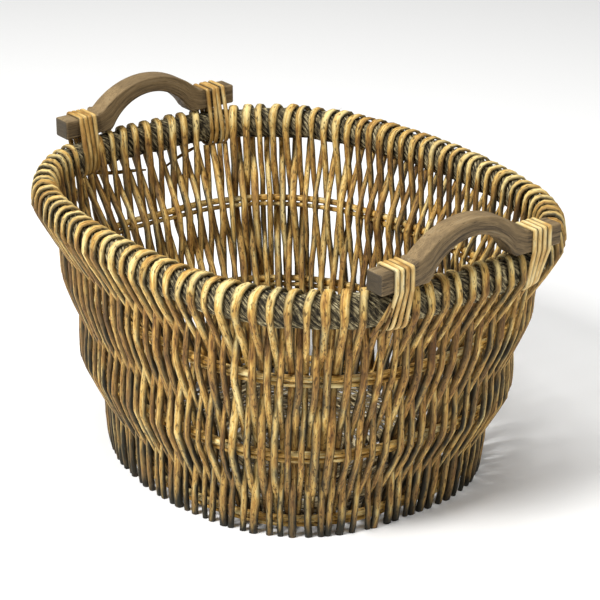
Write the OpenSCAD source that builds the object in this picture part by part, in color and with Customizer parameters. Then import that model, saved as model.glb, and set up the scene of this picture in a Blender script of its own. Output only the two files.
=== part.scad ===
// Oval wicker log basket, flared, with a wooden bow handle at each end.
// Every wall cane is a hairpin: it loops over the rim rope, and its two legs pass
// in and out round three pairs of hoops, on opposite sides, down to the ground.
// X runs along the basket, from handle to handle. Z = 0 is the ground. Millimetres.

/* [Rim] */
// Length of the basket over the outside of the rim
rim_length = 600; // [480:5:730]
// Width of the basket over the outside of the rim
rim_width = 494; // [400:4:590]
// Height of the rim's top above the ground
rim_height = 312; // [250:5:370]
// Length of the straight run of rim under each handle
end_flat = 80; // [40:5:90]
// How far the long sides bulge beyond the rim's round corners
side_rise = 13; // [8:1:20]
// Width of the twisted rope in the rim
rope_width = 22; // [16:1:28]
// Height of the twisted rope in the rim
rope_height = 38; // [30:1:46]

/* [Wall canes] */
// Number of hairpin canes round the wall, in fours
cane_count = 100; // [80:4:108]
// Diameter of a wall cane
cane_d = 6; // [4:0.5:7]
// Sides of a wall cane's section
cane_sides = 6; // [5:1:8]
// Lean of a hairpin over the rope, in spaces between canes
cane_lean = 0.5; // [0.4:0.05:0.6]
// How far below the rope's middle the legs stay upright
rope_grip = 10; // [8:1:16]
// Extra room where a leg bends round a pair of hoops
weave_slack = 2; // [1.4:0.1:4]

/* [Hoops] */
// Diameter of the thicker, upper rod in each pair of hoops
thick_hoop_d = 8.5; // [7:0.5:10]
// Diameter of the thinner, lower rod in each pair of hoops
thin_hoop_d = 6; // [5:0.5:7]
// Height of the upper pair of hoops
upper_hoop_z = 200; // [180:2:214]
// How far the upper pair lies inside the rope, at the ends
upper_hoop_end_in = 29; // [20:1:45]
// How far the upper pair lies inside the rope, at the sides
upper_hoop_side_in = 21; // [14:1:34]
// Height of the middle pair of hoops
middle_hoop_z = 105; // [85:1:115]
// How far the middle pair lies inside the rope, at the ends
middle_hoop_end_in = 54; // [42:1:66]
// How far the middle pair lies inside the rope, at the sides
middle_hoop_side_in = 31; // [26:1:44]
// Height of the lower pair of hoops
lower_hoop_z = 14; // [13:1:22]
// How far the lower pair lies inside the rope, at the ends
lower_hoop_end_in = 88; // [76:1:98]
// How far the lower pair lies inside the rope, at the sides
lower_hoop_side_in = 52; // [44:1:64]
// Slope of the wall at the hoops, in mm outwards for each mm up
wall_slope = 0.26; // [0.2:0.02:0.36]

/* [Base] */
// Thickness of the woven base
base_t = 12; // [11:0.5:16]
// Diameter of the short sticks across the base
short_stick_d = 8; // [7:0.5:9]
// Number of short sticks
short_stick_count = 7; // [5:2:9]
// Spacing of the short sticks
short_stick_pitch = 48; // [30:2:50]
// Diameter of the long sticks along the base
long_stick_d = 5; // [4:0.5:5.5]
// Number of long sticks
long_stick_count = 3; // [3:2:5]
// Spacing of the long sticks
long_stick_pitch = 44; // [30:2:50]
// How far the sticks' ends stop short of the base's edge
stick_end_in = 3; // [2:1:6]

/* [Handles] */
// Length of a handle
handle_length = 232; // [200:2:270]
// Thickness of a handle, across the rim
handle_w = 24; // [18:1:28]
// Height of a handle's flat feet
foot_t = 22; // [18:1:26]
// Height of a handle's crown above the underside of its feet
crown_height = 53; // [48:1:64]
// Thickness of a handle at its crown
crown_t = 18; // [15:1:20]
// Half-width of the bow at the height of the feet's top
bow_half = 70; // [64:1:80]
// Half-width of the finger gap at the rim
grip_half = 54; // [46:1:58]
// Radius where the bow runs into a foot
bow_fillet = 14; // [10:1:24]
// How far a handle's middle lies outside the rope's middle
handle_out = 2; // [-4:1:4]

/* [Lashings] */
// Turns of cane in each lashing
lash_turns = 4; // [3:1:4]
// Width of the cane in a lashing
lash_w = 5; // [4:0.5:5]
// Thickness of the cane in a lashing
lash_t = 3; // [2:0.5:4]
// Gap between the turns of a lashing
lash_gap = 0.4; // [0.2:0.1:1]
// Place of each lashing, in spaces between canes from the handle's middle
lash_place = 5.25; // [5.2:0.05:5.4]

/* [Fits] */
// Clearance between canes, hoops, rope, handles and lashings
fit_gap = 0.2; // [0.1:0.05:0.5]
// Clearance round each stick in the woven base
stick_gap = 0.2; // [0.1:0.05:0.4]

/* [Hidden] */
$fn = 48;
group_size = 4;
group_count = cane_count / group_size;
cane_groups = [for (g = [1 : group_count]) str("wall_canes_", g < 10 ? "0" : "", g)];
hoop_names = ["upper_hoop_thick", "upper_hoop_thin", "middle_hoop_thick",
              "middle_hoop_thin", "lower_hoop_thick", "lower_hoop_thin"];
lashing_names = ["front_left_lashing", "front_right_lashing",
                 "back_right_lashing", "back_left_lashing"];

cane_colour = "#B08A45";
hoop_colour = "#C79F55";
rope_colour = "#6B6252";
wood_colour = "#7A6A58";
lash_colour = "#DDBB72";
base_colour = "#A08C68";

cane_r = cane_d / 2;
cane_bed = 1.02 * cane_r + fit_gap;
rim_top = rim_height - cane_d;
rope_mid_z = rim_top - fit_gap - rope_height / 2;
rope_low_z = rope_mid_z - rope_height / 2;
rope_sides = 12;
hoop_sides = 6;
ring_steps = 60;
profile_steps = 20;
fillet_steps = 5;
outline_steps = 96;

// ---- Ovals ------------------------------------------------------------------
// An oval is [half length, half width, half of its straight end, side rise]. Each
// quarter is a straight end, a round corner and a long, shallow side arc.
function oval(half_l, half_w) =
    let (k = half_w / rope_half_w)
    [half_l, half_w, k * end_flat / 2, k * side_rise];
function grown(o, by) = [o[0] + by, o[1] + by, o[2], o[3]];
function corner_r(o) = o[1] - o[2] - o[3];
function corner_centre(o) = [o[0] - corner_r(o), o[2]];
function side_r(o) =
    (pow(o[0] - corner_r(o), 2) + pow(o[1] - o[2], 2) - pow(corner_r(o), 2)) / (2 * o[3]);
function side_centre(o) = [0, o[1] - side_r(o)];
// Angle where the corner arc meets the side arc
function meet_angle(o) =
    let (d = corner_centre(o) - side_centre(o))
    atan2(d[1], d[0]);
function corner_run(o) = corner_r(o) * meet_angle(o) * PI / 180;
function side_run(o) = side_r(o) * (90 - meet_angle(o)) * PI / 180;
function quarter_run(o) = o[2] + corner_run(o) + side_run(o);
function polar(centre, r, angle) = centre + r * [cos(angle), sin(angle)];
// Point and outward angle at a distance along the first quarter, from the X axis
function quarter_at(o, s) =
    s < o[2] ? [[o[0], s], 0] :
    s < o[2] + corner_run(o) ?
        let (angle = (s - o[2]) / corner_r(o) * 180 / PI)
        [polar(corner_centre(o), corner_r(o), angle), angle] :
        let (angle = meet_angle(o) + (s - o[2] - corner_run(o)) / side_r(o) * 180 / PI)
        [polar(side_centre(o), side_r(o), angle), angle];
// Point and outward normal at a share of the way round, from 0 to 1
function oval_at(o, share) =
    let (turn = 4 * (share - floor(share)),
         q = floor(turn),
         u = q % 2 == 0 ? turn - q : 1 - turn + q,
         at = quarter_at(o, u * quarter_run(o)),
         sx = q == 1 || q == 2 ? -1 : 1,
         sy = q < 2 ? 1 : -1)
    [[sx * at[0][0], sy * at[0][1]], [sx * cos(at[1]), sy * sin(at[1])]];
// Half length of the oval at a distance y from its long axis, on its round corner
function half_length_at(o, y) =
    abs(y) <= o[2] ? o[0] :
    corner_centre(o)[0] + sqrt(pow(corner_r(o), 2) - pow(abs(y) - o[2], 2));
// Half width of the oval at a distance x from its short axis, on its side or corner
function half_width_at(o, x) =
    abs(x) < polar(side_centre(o), side_r(o), meet_angle(o))[0] ?
        side_centre(o)[1] + sqrt(pow(side_r(o), 2) - x * x) :
        o[2] + sqrt(pow(corner_r(o), 2) - pow(abs(x) - corner_centre(o)[0], 2));

rope_half_l = rim_length / 2 - rope_width / 2 - cane_d - fit_gap;
rope_half_w = rim_width / 2 - rope_width / 2 - cane_d - fit_gap;
rope_oval = oval(rope_half_l, rope_half_w);
cane_pitch = 4 * quarter_run(rope_oval) / cane_count;
function inner_oval(end_in, side_in) = oval(rope_half_l - end_in, rope_half_w - side_in);
upper_oval = inner_oval(upper_hoop_end_in, upper_hoop_side_in);
middle_oval = inner_oval(middle_hoop_end_in, middle_hoop_side_in);
lower_oval = inner_oval(lower_hoop_end_in, lower_hoop_side_in);
ground_oval = grown(lower_oval, -wall_slope * lower_hoop_z);

// ---- Swept rods -------------------------------------------------------------
function unit(v) = v / norm(v);
// Corners of a section across the way ahead, r[0] wide along the first direction
// square to it and r[1] deep along the second
function section(centre, first, second, r, sides, mitre = 1) =
    [for (k = [0 : sides - 1])
        let (angle = (k + 0.5) * 360 / sides)
        centre + r[0] * cos(angle) * first + mitre * r[1] * sin(angle) * second];
// Walls between sections, from one ring of corners to the next
function wall_faces(rings, sides, closed) =
    [for (i = [0 : rings - (closed ? 1 : 2)], k = [0 : sides - 1])
        let (low = i * sides, high = (i + 1) % rings * sides, next = (k + 1) % sides)
        [high + k, high + next, low + next, low + k]];

// ---- Rim rope and hoops -----------------------------------------------------
// A rod round the whole oval, r[0] by r[1] in section
module oval_rod(o, z, r, sides) {
    rings = [for (i = [0 : ring_steps - 1])
        let (at = oval_at(o, i / ring_steps))
        section([at[0][0], at[0][1], z], [at[1][0], at[1][1], 0], [0, 0, 1], r, sides)];
    polyhedron([for (ring = rings) each ring], wall_faces(ring_steps, sides, true));
}

module rim_rope() {
    color(rope_colour)
    oval_rod(rope_oval, rope_mid_z, [rope_width / 2, rope_height / 2], rope_sides);
}

// One rod of a pair: the thick one lies on the thin one, along the wall's slope
module hoop(level, z, d, other_d, side) {
    rise = side * (other_d + fit_gap) / 2;
    color(hoop_colour)
    oval_rod(grown(level, wall_slope * rise), z + rise, [d / 2, d / 2], hoop_sides);
}

module hoop_number(i) {
    levels = [upper_oval, middle_oval, lower_oval];
    heights = [upper_hoop_z, middle_hoop_z, lower_hoop_z];
    pair = floor(i / 2);
    if (i % 2 == 0)
        hoop(levels[pair], heights[pair], thick_hoop_d, thin_hoop_d, 1);
    else
        hoop(levels[pair], heights[pair], thin_hoop_d, thick_hoop_d, -1);
}

// ---- Wall canes -------------------------------------------------------------
weave_out = thick_hoop_d / 2 + cane_bed + weave_slack;
// A leg's end lies beyond its lower hoops, on the line from the middle hoops
foot_out = weave_out * (1 + 2 * lower_hoop_z / (middle_hoop_z - lower_hoop_z));
rope_side_out = rope_width / 2 + cane_bed;
leg_high_z = rope_mid_z + rope_height / 4;
leg_low_z = rope_mid_z - rope_grip;
loop_out = rope_width / 4;
loop_z = rim_height - cane_r;
// A short cane's top is tucked up under the rope
tuck_z = rope_low_z - lash_t - cane_d;

function spot(o, share, out, z) =
    let (at = oval_at(o, share))
    [at[0][0] + out * at[1][0], at[0][1] + out * at[1][1], z];
// The point where a straight leg crosses a height between two of its points
function at_height(low, high, z) = low + (high - low) * (z - low[2]) / (high[2] - low[2]);
// Points of one leg from the ground to the upper hoops. side is 1 for the leg that
// starts inside the lower hoops, and -1 for the one that starts outside them.
function leg_points(share, side) = [
    spot(ground_oval, share, -side * foot_out, 0),
    spot(middle_oval, share, side * weave_out, middle_hoop_z),
    spot(upper_oval, share, -side * weave_out, upper_hoop_z)];
function rope_points(share, side) = [
    spot(rope_oval, share, side * rope_side_out, leg_low_z),
    spot(rope_oval, share, side * rope_side_out, leg_high_z)];
function loop_point(share, side) =
    spot(rope_oval, share, side * loop_out, loop_z);
function reversed(list) = [for (i = [len(list) - 1 : -1 : 0]) list[i]];
function hairpin_points(i) =
    let (outer = i / cane_count,
         inner = (i + cane_lean) / cane_count,
         step = (inner - outer) / 4)
    concat(leg_points(outer, 1), rope_points(outer, 1),
           [loop_point(outer + step, 1), loop_point(inner - step, -1)],
           reversed(rope_points(inner, -1)), reversed(leg_points(inner, -1)));
function short_cane_points(share, side) =
    let (leg = leg_points(share, side))
    concat(leg, [at_height(leg[2], rope_points(share, side)[0], tuck_z)]);

// The way ahead at a point of a path; a cane's ends are cut level
function heading(path, i) =
    i == 0 ? [0, 0, 1] :
    i == len(path) - 1 ? [0, 0, path[i][2] > path[i - 1][2] ? 1 : -1] :
    unit(unit(path[i] - path[i - 1]) + unit(path[i + 1] - path[i]));
// A cane swept along its points, as one closed solid
module cane(path, share) {
    normal = oval_at(rope_oval, share)[1];
    along = [-normal[1], normal[0], 0];
    last = len(path) - 1;
    rings = [for (i = [0 : last])
        let (ahead = heading(path, i),
             side = unit(along - (along * ahead) * ahead),
             leg = unit(i == 0 ? path[1] - path[0] : path[i] - path[i - 1]))
        section(path[i], side, cross(ahead, side), [cane_r, cane_r], cane_sides,
                1 / (leg * ahead))];
    start_cap = [for (k = [0 : cane_sides - 1]) k];
    end_cap = [for (k = [cane_sides - 1 : -1 : 0]) last * cane_sides + k];
    polyhedron([for (ring = rings) each ring],
               concat([start_cap], wall_faces(last + 1, cane_sides, false), [end_cap]));
}

// Each lashing takes the place of two hairpins, which are cut short under the rope
function near_lashing(i) =
    let (half = cane_count / 2,
         from_end = abs((i + half / 2) % half - half / 2))
    from_end == floor(lash_place) || from_end == floor(lash_place) + 1;

module cane_number(i) {
    outer = i / cane_count;
    inner = (i + cane_lean) / cane_count;
    if (near_lashing(i)) {
        cane(short_cane_points(outer, 1), outer);
        cane(short_cane_points(inner, -1), inner);
    } else {
        cane(hairpin_points(i), (outer + inner) / 2);
    }
}

module cane_group(g) {
    color(cane_colour)
    for (i = [(g - 1) * group_size : g * group_size - 1])
    cane_number(i);
}

// ---- Base -------------------------------------------------------------------
base_oval = grown(ground_oval, -foot_out - cane_bed * 1.1);
short_stick_x = [for (i = [0 : short_stick_count - 1])
    (i - (short_stick_count - 1) / 2) * short_stick_pitch];
long_stick_y = [for (i = [0 : long_stick_count - 1])
    (i - (long_stick_count - 1) / 2) * long_stick_pitch];

module rod_along_y(x, d, half) {
    translate([x, half, base_t / 2])
    rotate([90, 0, 0])
    cylinder(d = d, h = 2 * half);
}

module rod_along_x(y, d, half) {
    translate([-half, y, base_t / 2])
    rotate([0, 90, 0])
    cylinder(d = d, h = 2 * half);
}

module base_weave() {
    color(base_colour)
    difference() {
        linear_extrude(base_t)
        polygon([for (i = [0 : outline_steps - 1]) oval_at(base_oval, i / outline_steps)[0]]);
        for (x = short_stick_x)
        rod_along_y(x, short_stick_d + 2 * stick_gap, base_oval[1] + 1);
        for (y = long_stick_y)
        rod_along_x(y, long_stick_d + 2 * stick_gap, base_oval[0] + 1);
    }
}

module base_short_sticks() {
    color(base_colour)
    for (x = short_stick_x)
    difference() {
        rod_along_y(x, short_stick_d, half_width_at(base_oval, x) - stick_end_in);
        for (y = long_stick_y)
        rod_along_x(y, long_stick_d + 2 * stick_gap, base_oval[0]);
    }
}

module base_long_sticks() {
    color(base_colour)
    for (y = long_stick_y)
    rod_along_x(y, long_stick_d, half_length_at(base_oval, y) - stick_end_in);
}

// ---- Handles ----------------------------------------------------------------
function arc_r(half, rise) = (half * half + rise * rise) / (2 * rise);
function arc_points(centre, r, from, to, steps) =
    [for (i = [0 : steps]) polar(centre, r, from + (to - from) * i / steps)];
bow_r = arc_r(bow_half, crown_height - foot_t);
bow_centre = [0, crown_height - bow_r];
grip_height = crown_height - crown_t;
grip_r = arc_r(grip_half, grip_height);
grip_centre = [0, grip_height - grip_r];
fillet_centre_z = foot_t + bow_fillet;
fillet_y = sqrt(pow(bow_r + bow_fillet, 2) - pow(fillet_centre_z - bow_centre[1], 2));
// Angle of the line from the bow's centre to a fillet's centre
fillet_angle = atan2(fillet_centre_z - bow_centre[1], fillet_y);
handle_x = rope_half_l + handle_out;
foot_z = rim_height + fit_gap;

function handle_outline() =
    let (grip_angle = atan2(-grip_centre[1], grip_half))
    concat(
        [[-handle_length / 2, 0], [-handle_length / 2, foot_t]],
        arc_points([-fillet_y, fillet_centre_z], bow_fillet, -90, -fillet_angle, fillet_steps),
        arc_points(bow_centre, bow_r, 180 - fillet_angle, fillet_angle, profile_steps),
        arc_points([fillet_y, fillet_centre_z], bow_fillet, 180 + fillet_angle, 270, fillet_steps),
        [[handle_length / 2, foot_t], [handle_length / 2, 0]],
        arc_points(grip_centre, grip_r, grip_angle, 180 - grip_angle, profile_steps));

module handle(end) {
    color(wood_colour)
    translate([end * handle_x - handle_w / 2, 0, foot_z])
    rotate([90, 0, 90])
    linear_extrude(handle_w)
    polygon(handle_outline());
}

// ---- Lashings ---------------------------------------------------------------
lash_pitch = lash_w + lash_gap;
lash_y = oval_at(rope_oval, lash_place / cane_count)[0][1];
// Reach of the rope's section beyond its middle, where the rope runs aslant
rope_reach = rope_width / 2 / oval_at(rope_oval, lash_place / cane_count)[1][0];

module lash_turn(end, y) {
    near = half_length_at(rope_oval, abs(y) + lash_w / 2) - rope_reach - fit_gap;
    far = max(half_length_at(rope_oval, abs(y) - lash_w / 2) + rope_reach,
              handle_x + handle_w / 2) + fit_gap;
    low = rope_low_z - fit_gap;
    high = foot_z + foot_t + fit_gap;
    translate([end * (near + far) / 2, y + lash_w / 2, (low + high) / 2])
    rotate([90, 0, 0])
    linear_extrude(lash_w)
    difference() {
        square([far - near + 2 * lash_t, high - low + 2 * lash_t], center = true);
        square([far - near, high - low], center = true);
    }
}

module lashing(end, side) {
    color(lash_colour)
    for (k = [0 : lash_turns - 1])
    lash_turn(end, side * lash_y + (k - (lash_turns - 1) / 2) * lash_pitch);
}

// ---- Assembly ---------------------------------------------------------------
rim_rope();
base_weave();
base_short_sticks();
base_long_sticks();
handle(1);  // front_handle
handle(-1);  // back_handle
lashing(1, -1);  // front_left_lashing
lashing(1, 1);  // front_right_lashing
lashing(-1, 1);  // back_right_lashing
lashing(-1, -1);  // back_left_lashing
for (i = [0 : len(hoop_names) - 1])
hoop_number(i);
for (g = [1 : group_count])
cane_group(g);
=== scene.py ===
"""An oval log basket of willow hairpins, with a twisted grass rim and two wooden bows.

Every rod is made straight, as it grew, and is then bent onto its path. Its coordinates
from before the bending stay with it, so that bark, grain and fibres run along the rod.
Lengths are metres. X runs from handle to handle, and Z = 0 is the ground.
"""
import logging
import math
from dataclasses import dataclass, field, replace
from enum import Enum

import bmesh
import bpy
import numpy as np
from mathutils import Matrix, Vector


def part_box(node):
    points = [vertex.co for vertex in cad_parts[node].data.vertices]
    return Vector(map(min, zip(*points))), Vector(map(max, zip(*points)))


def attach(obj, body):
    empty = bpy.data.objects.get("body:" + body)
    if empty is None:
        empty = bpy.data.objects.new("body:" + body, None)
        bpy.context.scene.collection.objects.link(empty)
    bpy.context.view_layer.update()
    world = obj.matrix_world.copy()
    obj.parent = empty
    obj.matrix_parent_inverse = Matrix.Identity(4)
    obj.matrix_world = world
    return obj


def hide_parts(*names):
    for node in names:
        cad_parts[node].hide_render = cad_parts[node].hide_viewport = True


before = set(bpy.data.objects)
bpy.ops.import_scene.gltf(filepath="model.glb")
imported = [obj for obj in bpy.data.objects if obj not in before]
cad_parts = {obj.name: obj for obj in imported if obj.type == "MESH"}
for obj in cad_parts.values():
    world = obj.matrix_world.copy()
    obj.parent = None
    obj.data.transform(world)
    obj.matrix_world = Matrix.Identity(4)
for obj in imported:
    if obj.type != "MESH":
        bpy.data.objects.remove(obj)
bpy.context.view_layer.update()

LOG = logging.getLogger("log_basket")
MM = 0.001
SEED = 20
# The three waves of a hand-made line: length as a share of the longest, and swing
WAVE_PARTS = ((1.0, 0.6), (0.55, 0.35), (0.27, 0.2))
# Buds on a willow rod: how far the first is from the end, their gaps, length and swelling
BUD_FIRST = (20 * MM, 60 * MM)
BUD_GAP = (40 * MM, 90 * MM)
BUD_LENGTH = 4 * MM
BUD_SWELL = 0.07
# How square the pressed rope's section is: 1 is a plain oval
ROPE_SQUARE = 0.82
# Painted shade down in a groove between strands, and how fast the painted shade fades from a
# rod's sides
GROOVE_SHADE = 0.45
SIDE_SHADE_FALL = 1.6
# Rounder lands between narrow grooves
GROOVE_SHAPE = 0.5
# Ends closer than this are one
WELD = 0.01 * MM


# ---- Small helpers -----------------------------------------------------------
def linear(colour: str, alpha: float = 1.0) -> tuple[float, float, float, float]:
    """Turns an sRGB hex colour to linear light.

    Args:
        colour: Six hex digits, with or without a leading hash.
        alpha: The fourth value of the result.

    Returns:
        Red, green and blue in linear light, and alpha.
    """
    digits = colour.lstrip("#")
    parts = [int(digits[i:i + 2], 16) / 255 for i in (0, 2, 4)]
    lit = [p / 12.92 if p <= 0.04045 else ((p + 0.055) / 1.055) ** 2.4 for p in parts]
    return lit[0], lit[1], lit[2], alpha


def unit(vectors: np.ndarray) -> np.ndarray:
    """Scales each row of an array to a length of one."""
    return vectors / np.maximum(np.linalg.norm(vectors, axis=1, keepdims=True), 1e-9)


def smooth(share: np.ndarray) -> np.ndarray:
    """Eases 0 to 1 in and out."""
    held = np.clip(share, 0, 1)
    return held * held * (3 - 2 * held)


def power(values: np.ndarray, exponent: float) -> np.ndarray:
    """Raises the size of each value to a power and keeps its sign."""
    return np.sign(values) * np.abs(values) ** exponent


def spaced(count: int, pitch: float) -> list[float]:
    """Lists places at even gaps, centred on zero."""
    return [(number - (count - 1) / 2) * pitch for number in range(count)]


def waves(rng: np.random.Generator, run: np.ndarray, length: float, size: float) -> np.ndarray:
    """Adds up three slow waves with random starts, for a hand-made line.

    Args:
        rng: The random source.
        run: Distance along the rod at each place.
        length: Length of the longest wave.
        size: Rough size of the swing.

    Returns:
        The swing at each place.
    """
    total = np.zeros_like(run)
    for share, part in WAVE_PARTS:
        turn = 2 * math.pi * run / (length * share * rng.uniform(0.85, 1.15))
        total += part * np.sin(turn + rng.uniform(0, 2 * math.pi))
    return size * total


def buds(rng: np.random.Generator, run: np.ndarray) -> np.ndarray:
    """Swells a rod a little at each of its buds.

    Args:
        rng: The random source.
        run: Distance along the rod at each place.

    Returns:
        The swelling at each place, as a share of the rod's radius.
    """
    swell = np.zeros_like(run)
    place = rng.uniform(BUD_FIRST[0], BUD_FIRST[1])
    while place < run[-1]:
        swell += BUD_SWELL * np.exp(-((run - place) / BUD_LENGTH) ** 2)
        place += rng.uniform(BUD_GAP[0], BUD_GAP[1])
    return swell


# ---- The basket's plan -------------------------------------------------------
# Sides of the CAD rods' sections, each with a flat side outward
CAD_ROPE_SIDES = 12
CAD_HOOP_SIDES = 6


@dataclass(frozen=True)
class Oval:
    """A rounded oval: straight ends, round corners and long, shallow side arcs.

    Attributes:
        half_l: Half of its length, along X.
        half_w: Half of its width, along Y.
        flat: Half of its straight end.
        rise: How far the side arcs bulge beyond the corners.
    """

    half_l: float
    half_w: float
    flat: float
    rise: float

    def grown(self, by: float) -> "Oval":
        """Returns the oval that lies a distance outside this one."""
        return Oval(self.half_l + by, self.half_w + by, self.flat, self.rise)

    @property
    def corner_r(self) -> float:
        """Radius of the corners."""
        return self.half_w - self.flat - self.rise

    @property
    def side_r(self) -> float:
        """Radius of the side arcs."""
        across = (self.half_l - self.corner_r) ** 2 + (self.half_w - self.flat) ** 2
        return (across - self.corner_r ** 2) / (2 * self.rise)

    @property
    def meet(self) -> float:
        """Angle where a corner runs into a side."""
        up = self.flat - self.half_w + self.side_r
        return math.atan2(up, self.half_l - self.corner_r)

    @property
    def quarter(self) -> float:
        """Length of a quarter of the way round."""
        return self.flat + self.corner_r * self.meet + self.side_r * (math.pi / 2 - self.meet)

    def at(self, share: np.ndarray) -> tuple[np.ndarray, np.ndarray]:
        """Finds places on the oval.

        Args:
            share: Shares of the way round, from the +X end, counter-clockwise.

        Returns:
            Points and outward normals, both with a Z of zero.
        """
        turn = 4 * (np.asarray(share, float) % 1.0)
        quadrant = np.minimum(turn.astype(int), 3)
        part = turn - quadrant
        run = np.where(quadrant % 2 == 0, part, 1 - part) * self.quarter
        corner_run = self.flat + self.corner_r * self.meet
        angle_c = (run - self.flat) / self.corner_r
        angle_s = self.meet + (run - corner_run) / self.side_r
        on_flat, on_corner = run < self.flat, run < corner_run
        angle = np.where(on_flat, 0.0, np.where(on_corner, angle_c, angle_s))
        corner = self.half_l - self.corner_r + self.corner_r * np.cos(angle)
        side = self.side_r * np.cos(angle)
        x = np.where(on_flat, self.half_l, np.where(on_corner, corner, side))
        y_corner = self.flat + self.corner_r * np.sin(angle)
        y_side = self.half_w - self.side_r + self.side_r * np.sin(angle)
        y = np.where(on_flat, run, np.where(on_corner, y_corner, y_side))
        sx = np.where((quadrant == 1) | (quadrant == 2), -1.0, 1.0)
        sy = np.where(quadrant < 2, 1.0, -1.0)
        nought = np.zeros_like(x)
        return (np.stack([sx * x, sy * y, nought], -1),
                np.stack([sx * np.cos(angle), sy * np.sin(angle), nought], -1))


class Level(Enum):
    """The three heights at which a pair of hoops holds the wall."""

    LOWER = "lower"
    MIDDLE = "middle"
    UPPER = "upper"


@dataclass
class Plan:
    """The sizes that the basket's pieces share, read from the frame's own boxes.

    Attributes:
        rope_w: Width of the rim rope.
        rope_h: Height of the rim rope.
        flat_share: Half of an oval's straight end, as a share of its half width.
        rise_share: Bulge of an oval's side, as a share of its half width.
        wall_slope: How far the wall goes out for each metre up, near the hoops.
        fit_gap: Clearance between pieces that touch.
        cane_count: Number of hairpins round the wall.
        cane_lean: How far a hairpin's inner leg is along from its outer one, in pitches.
        group_size: Hairpins in one named piece.
        cane_r: Half of a cane's mean width.
        weave_out: How far a leg stands off the wall's middle at a pair of hoops.
        foot_out: How far a leg stands off the wall's middle at the ground.
        lash_place: Place of a lashing from the end of the basket, in pitches.
        rope: Middle line of the rope.
        hoops: Middle line of each hoop, by name.
        hoop_z: Height of each hoop.
        hoop_r: Half of each hoop's thickness.
        levels: Middle of the wall at each pair of hoops.
        level_z: Height of each pair of hoops.
    """

    rope_w: float = 22 * MM
    rope_h: float = 38 * MM
    flat_share: float = 40 / 229.8
    rise_share: float = 13 / 229.8
    wall_slope: float = 0.26
    fit_gap: float = 0.2 * MM
    cane_count: int = 100
    cane_lean: float = 0.5
    group_size: int = 4
    cane_r: float = 3.85 * MM
    weave_out: float = 9.2 * MM
    foot_out: float = 12.2 * MM
    lash_place: float = 5.25
    rope: Oval = field(init=False)
    hoops: dict[str, Oval] = field(init=False)
    hoop_z: dict[str, float] = field(init=False)
    hoop_r: dict[str, float] = field(init=False)
    levels: dict[Level, Oval] = field(init=False)
    level_z: dict[Level, float] = field(init=False)

    def __post_init__(self) -> None:
        """Works out the ovals of the rope and the hoops from the frame."""
        low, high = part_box("rim_rope")
        self.rope_z = (low.z + high.z) / 2
        self.rope = self.oval(high.x - self.rope_w / 2 * math.cos(math.pi / CAD_ROPE_SIDES),
                              high.y - self.rope_w / 2)
        self.hoops, self.hoop_z, self.hoop_r = {}, {}, {}
        self.levels, self.level_z = {}, {}
        for level in Level:
            for weight in ("thick", "thin"):
                name = f"{level.value}_hoop_{weight}"
                low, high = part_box(name)
                radius = (high.z - low.z) / 2
                reach = radius * math.cos(math.pi / CAD_HOOP_SIDES)
                self.hoop_r[name] = radius
                self.hoop_z[name] = (low.z + high.z) / 2
                self.hoops[name] = self.oval(high.x - reach, high.y - radius)
            thick, thin = f"{level.value}_hoop_thick", f"{level.value}_hoop_thin"
            drop = self.hoop_r[thin] + self.fit_gap / 2
            self.level_z[level] = self.hoop_z[thick] - drop
            self.levels[level] = self.hoops[thick].grown(-drop * self.wall_slope)
        lowest = self.level_z[Level.LOWER]
        self.ground = self.levels[Level.LOWER].grown(-lowest * self.wall_slope)

    def oval(self, half_l: float, half_w: float) -> Oval:
        """Returns an oval of the basket's family with these half sizes."""
        return Oval(half_l, half_w, self.flat_share * half_w, self.rise_share * half_w)

    @property
    def group_count(self) -> int:
        """Number of groups of wall canes."""
        return self.cane_count // self.group_size


# ---- Rods --------------------------------------------------------------------
@dataclass
class Rod:
    """One rod, cane or strand, and the path that it is bent onto.

    Attributes:
        points: Places along its middle line, one row each.
        across: The direction of its width at each place.
        half_w: Half of its width at each place.
        half_t: Half of its thickness at each place.
        tint: 0 to 1, from its brownest to its palest colour.
        shade: 0 to 1 at each place, from fresh to weathered and darkened.
        side_shade: Painted shade on the two sides that face the next rods.
        sides: Number of sides of its section.
        closed: True if its end meets its start.
        twist: Turns of the section from start to end.
        square: 1 for a round section, and less for a squarer one.
        lobes: Number of strands that its surface is laid from, or 0.
        lobe_depth: Depth of the groove between strands.
    """

    points: np.ndarray
    across: np.ndarray
    half_w: np.ndarray
    half_t: np.ndarray
    tint: float | np.ndarray = 0.5
    shade: np.ndarray | None = None
    side_shade: float = 0.0
    sides: int = 8
    closed: bool = False
    twist: float = 0.0
    square: float = 1.0
    lobes: int = 0
    lobe_depth: float = 0.0


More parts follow.
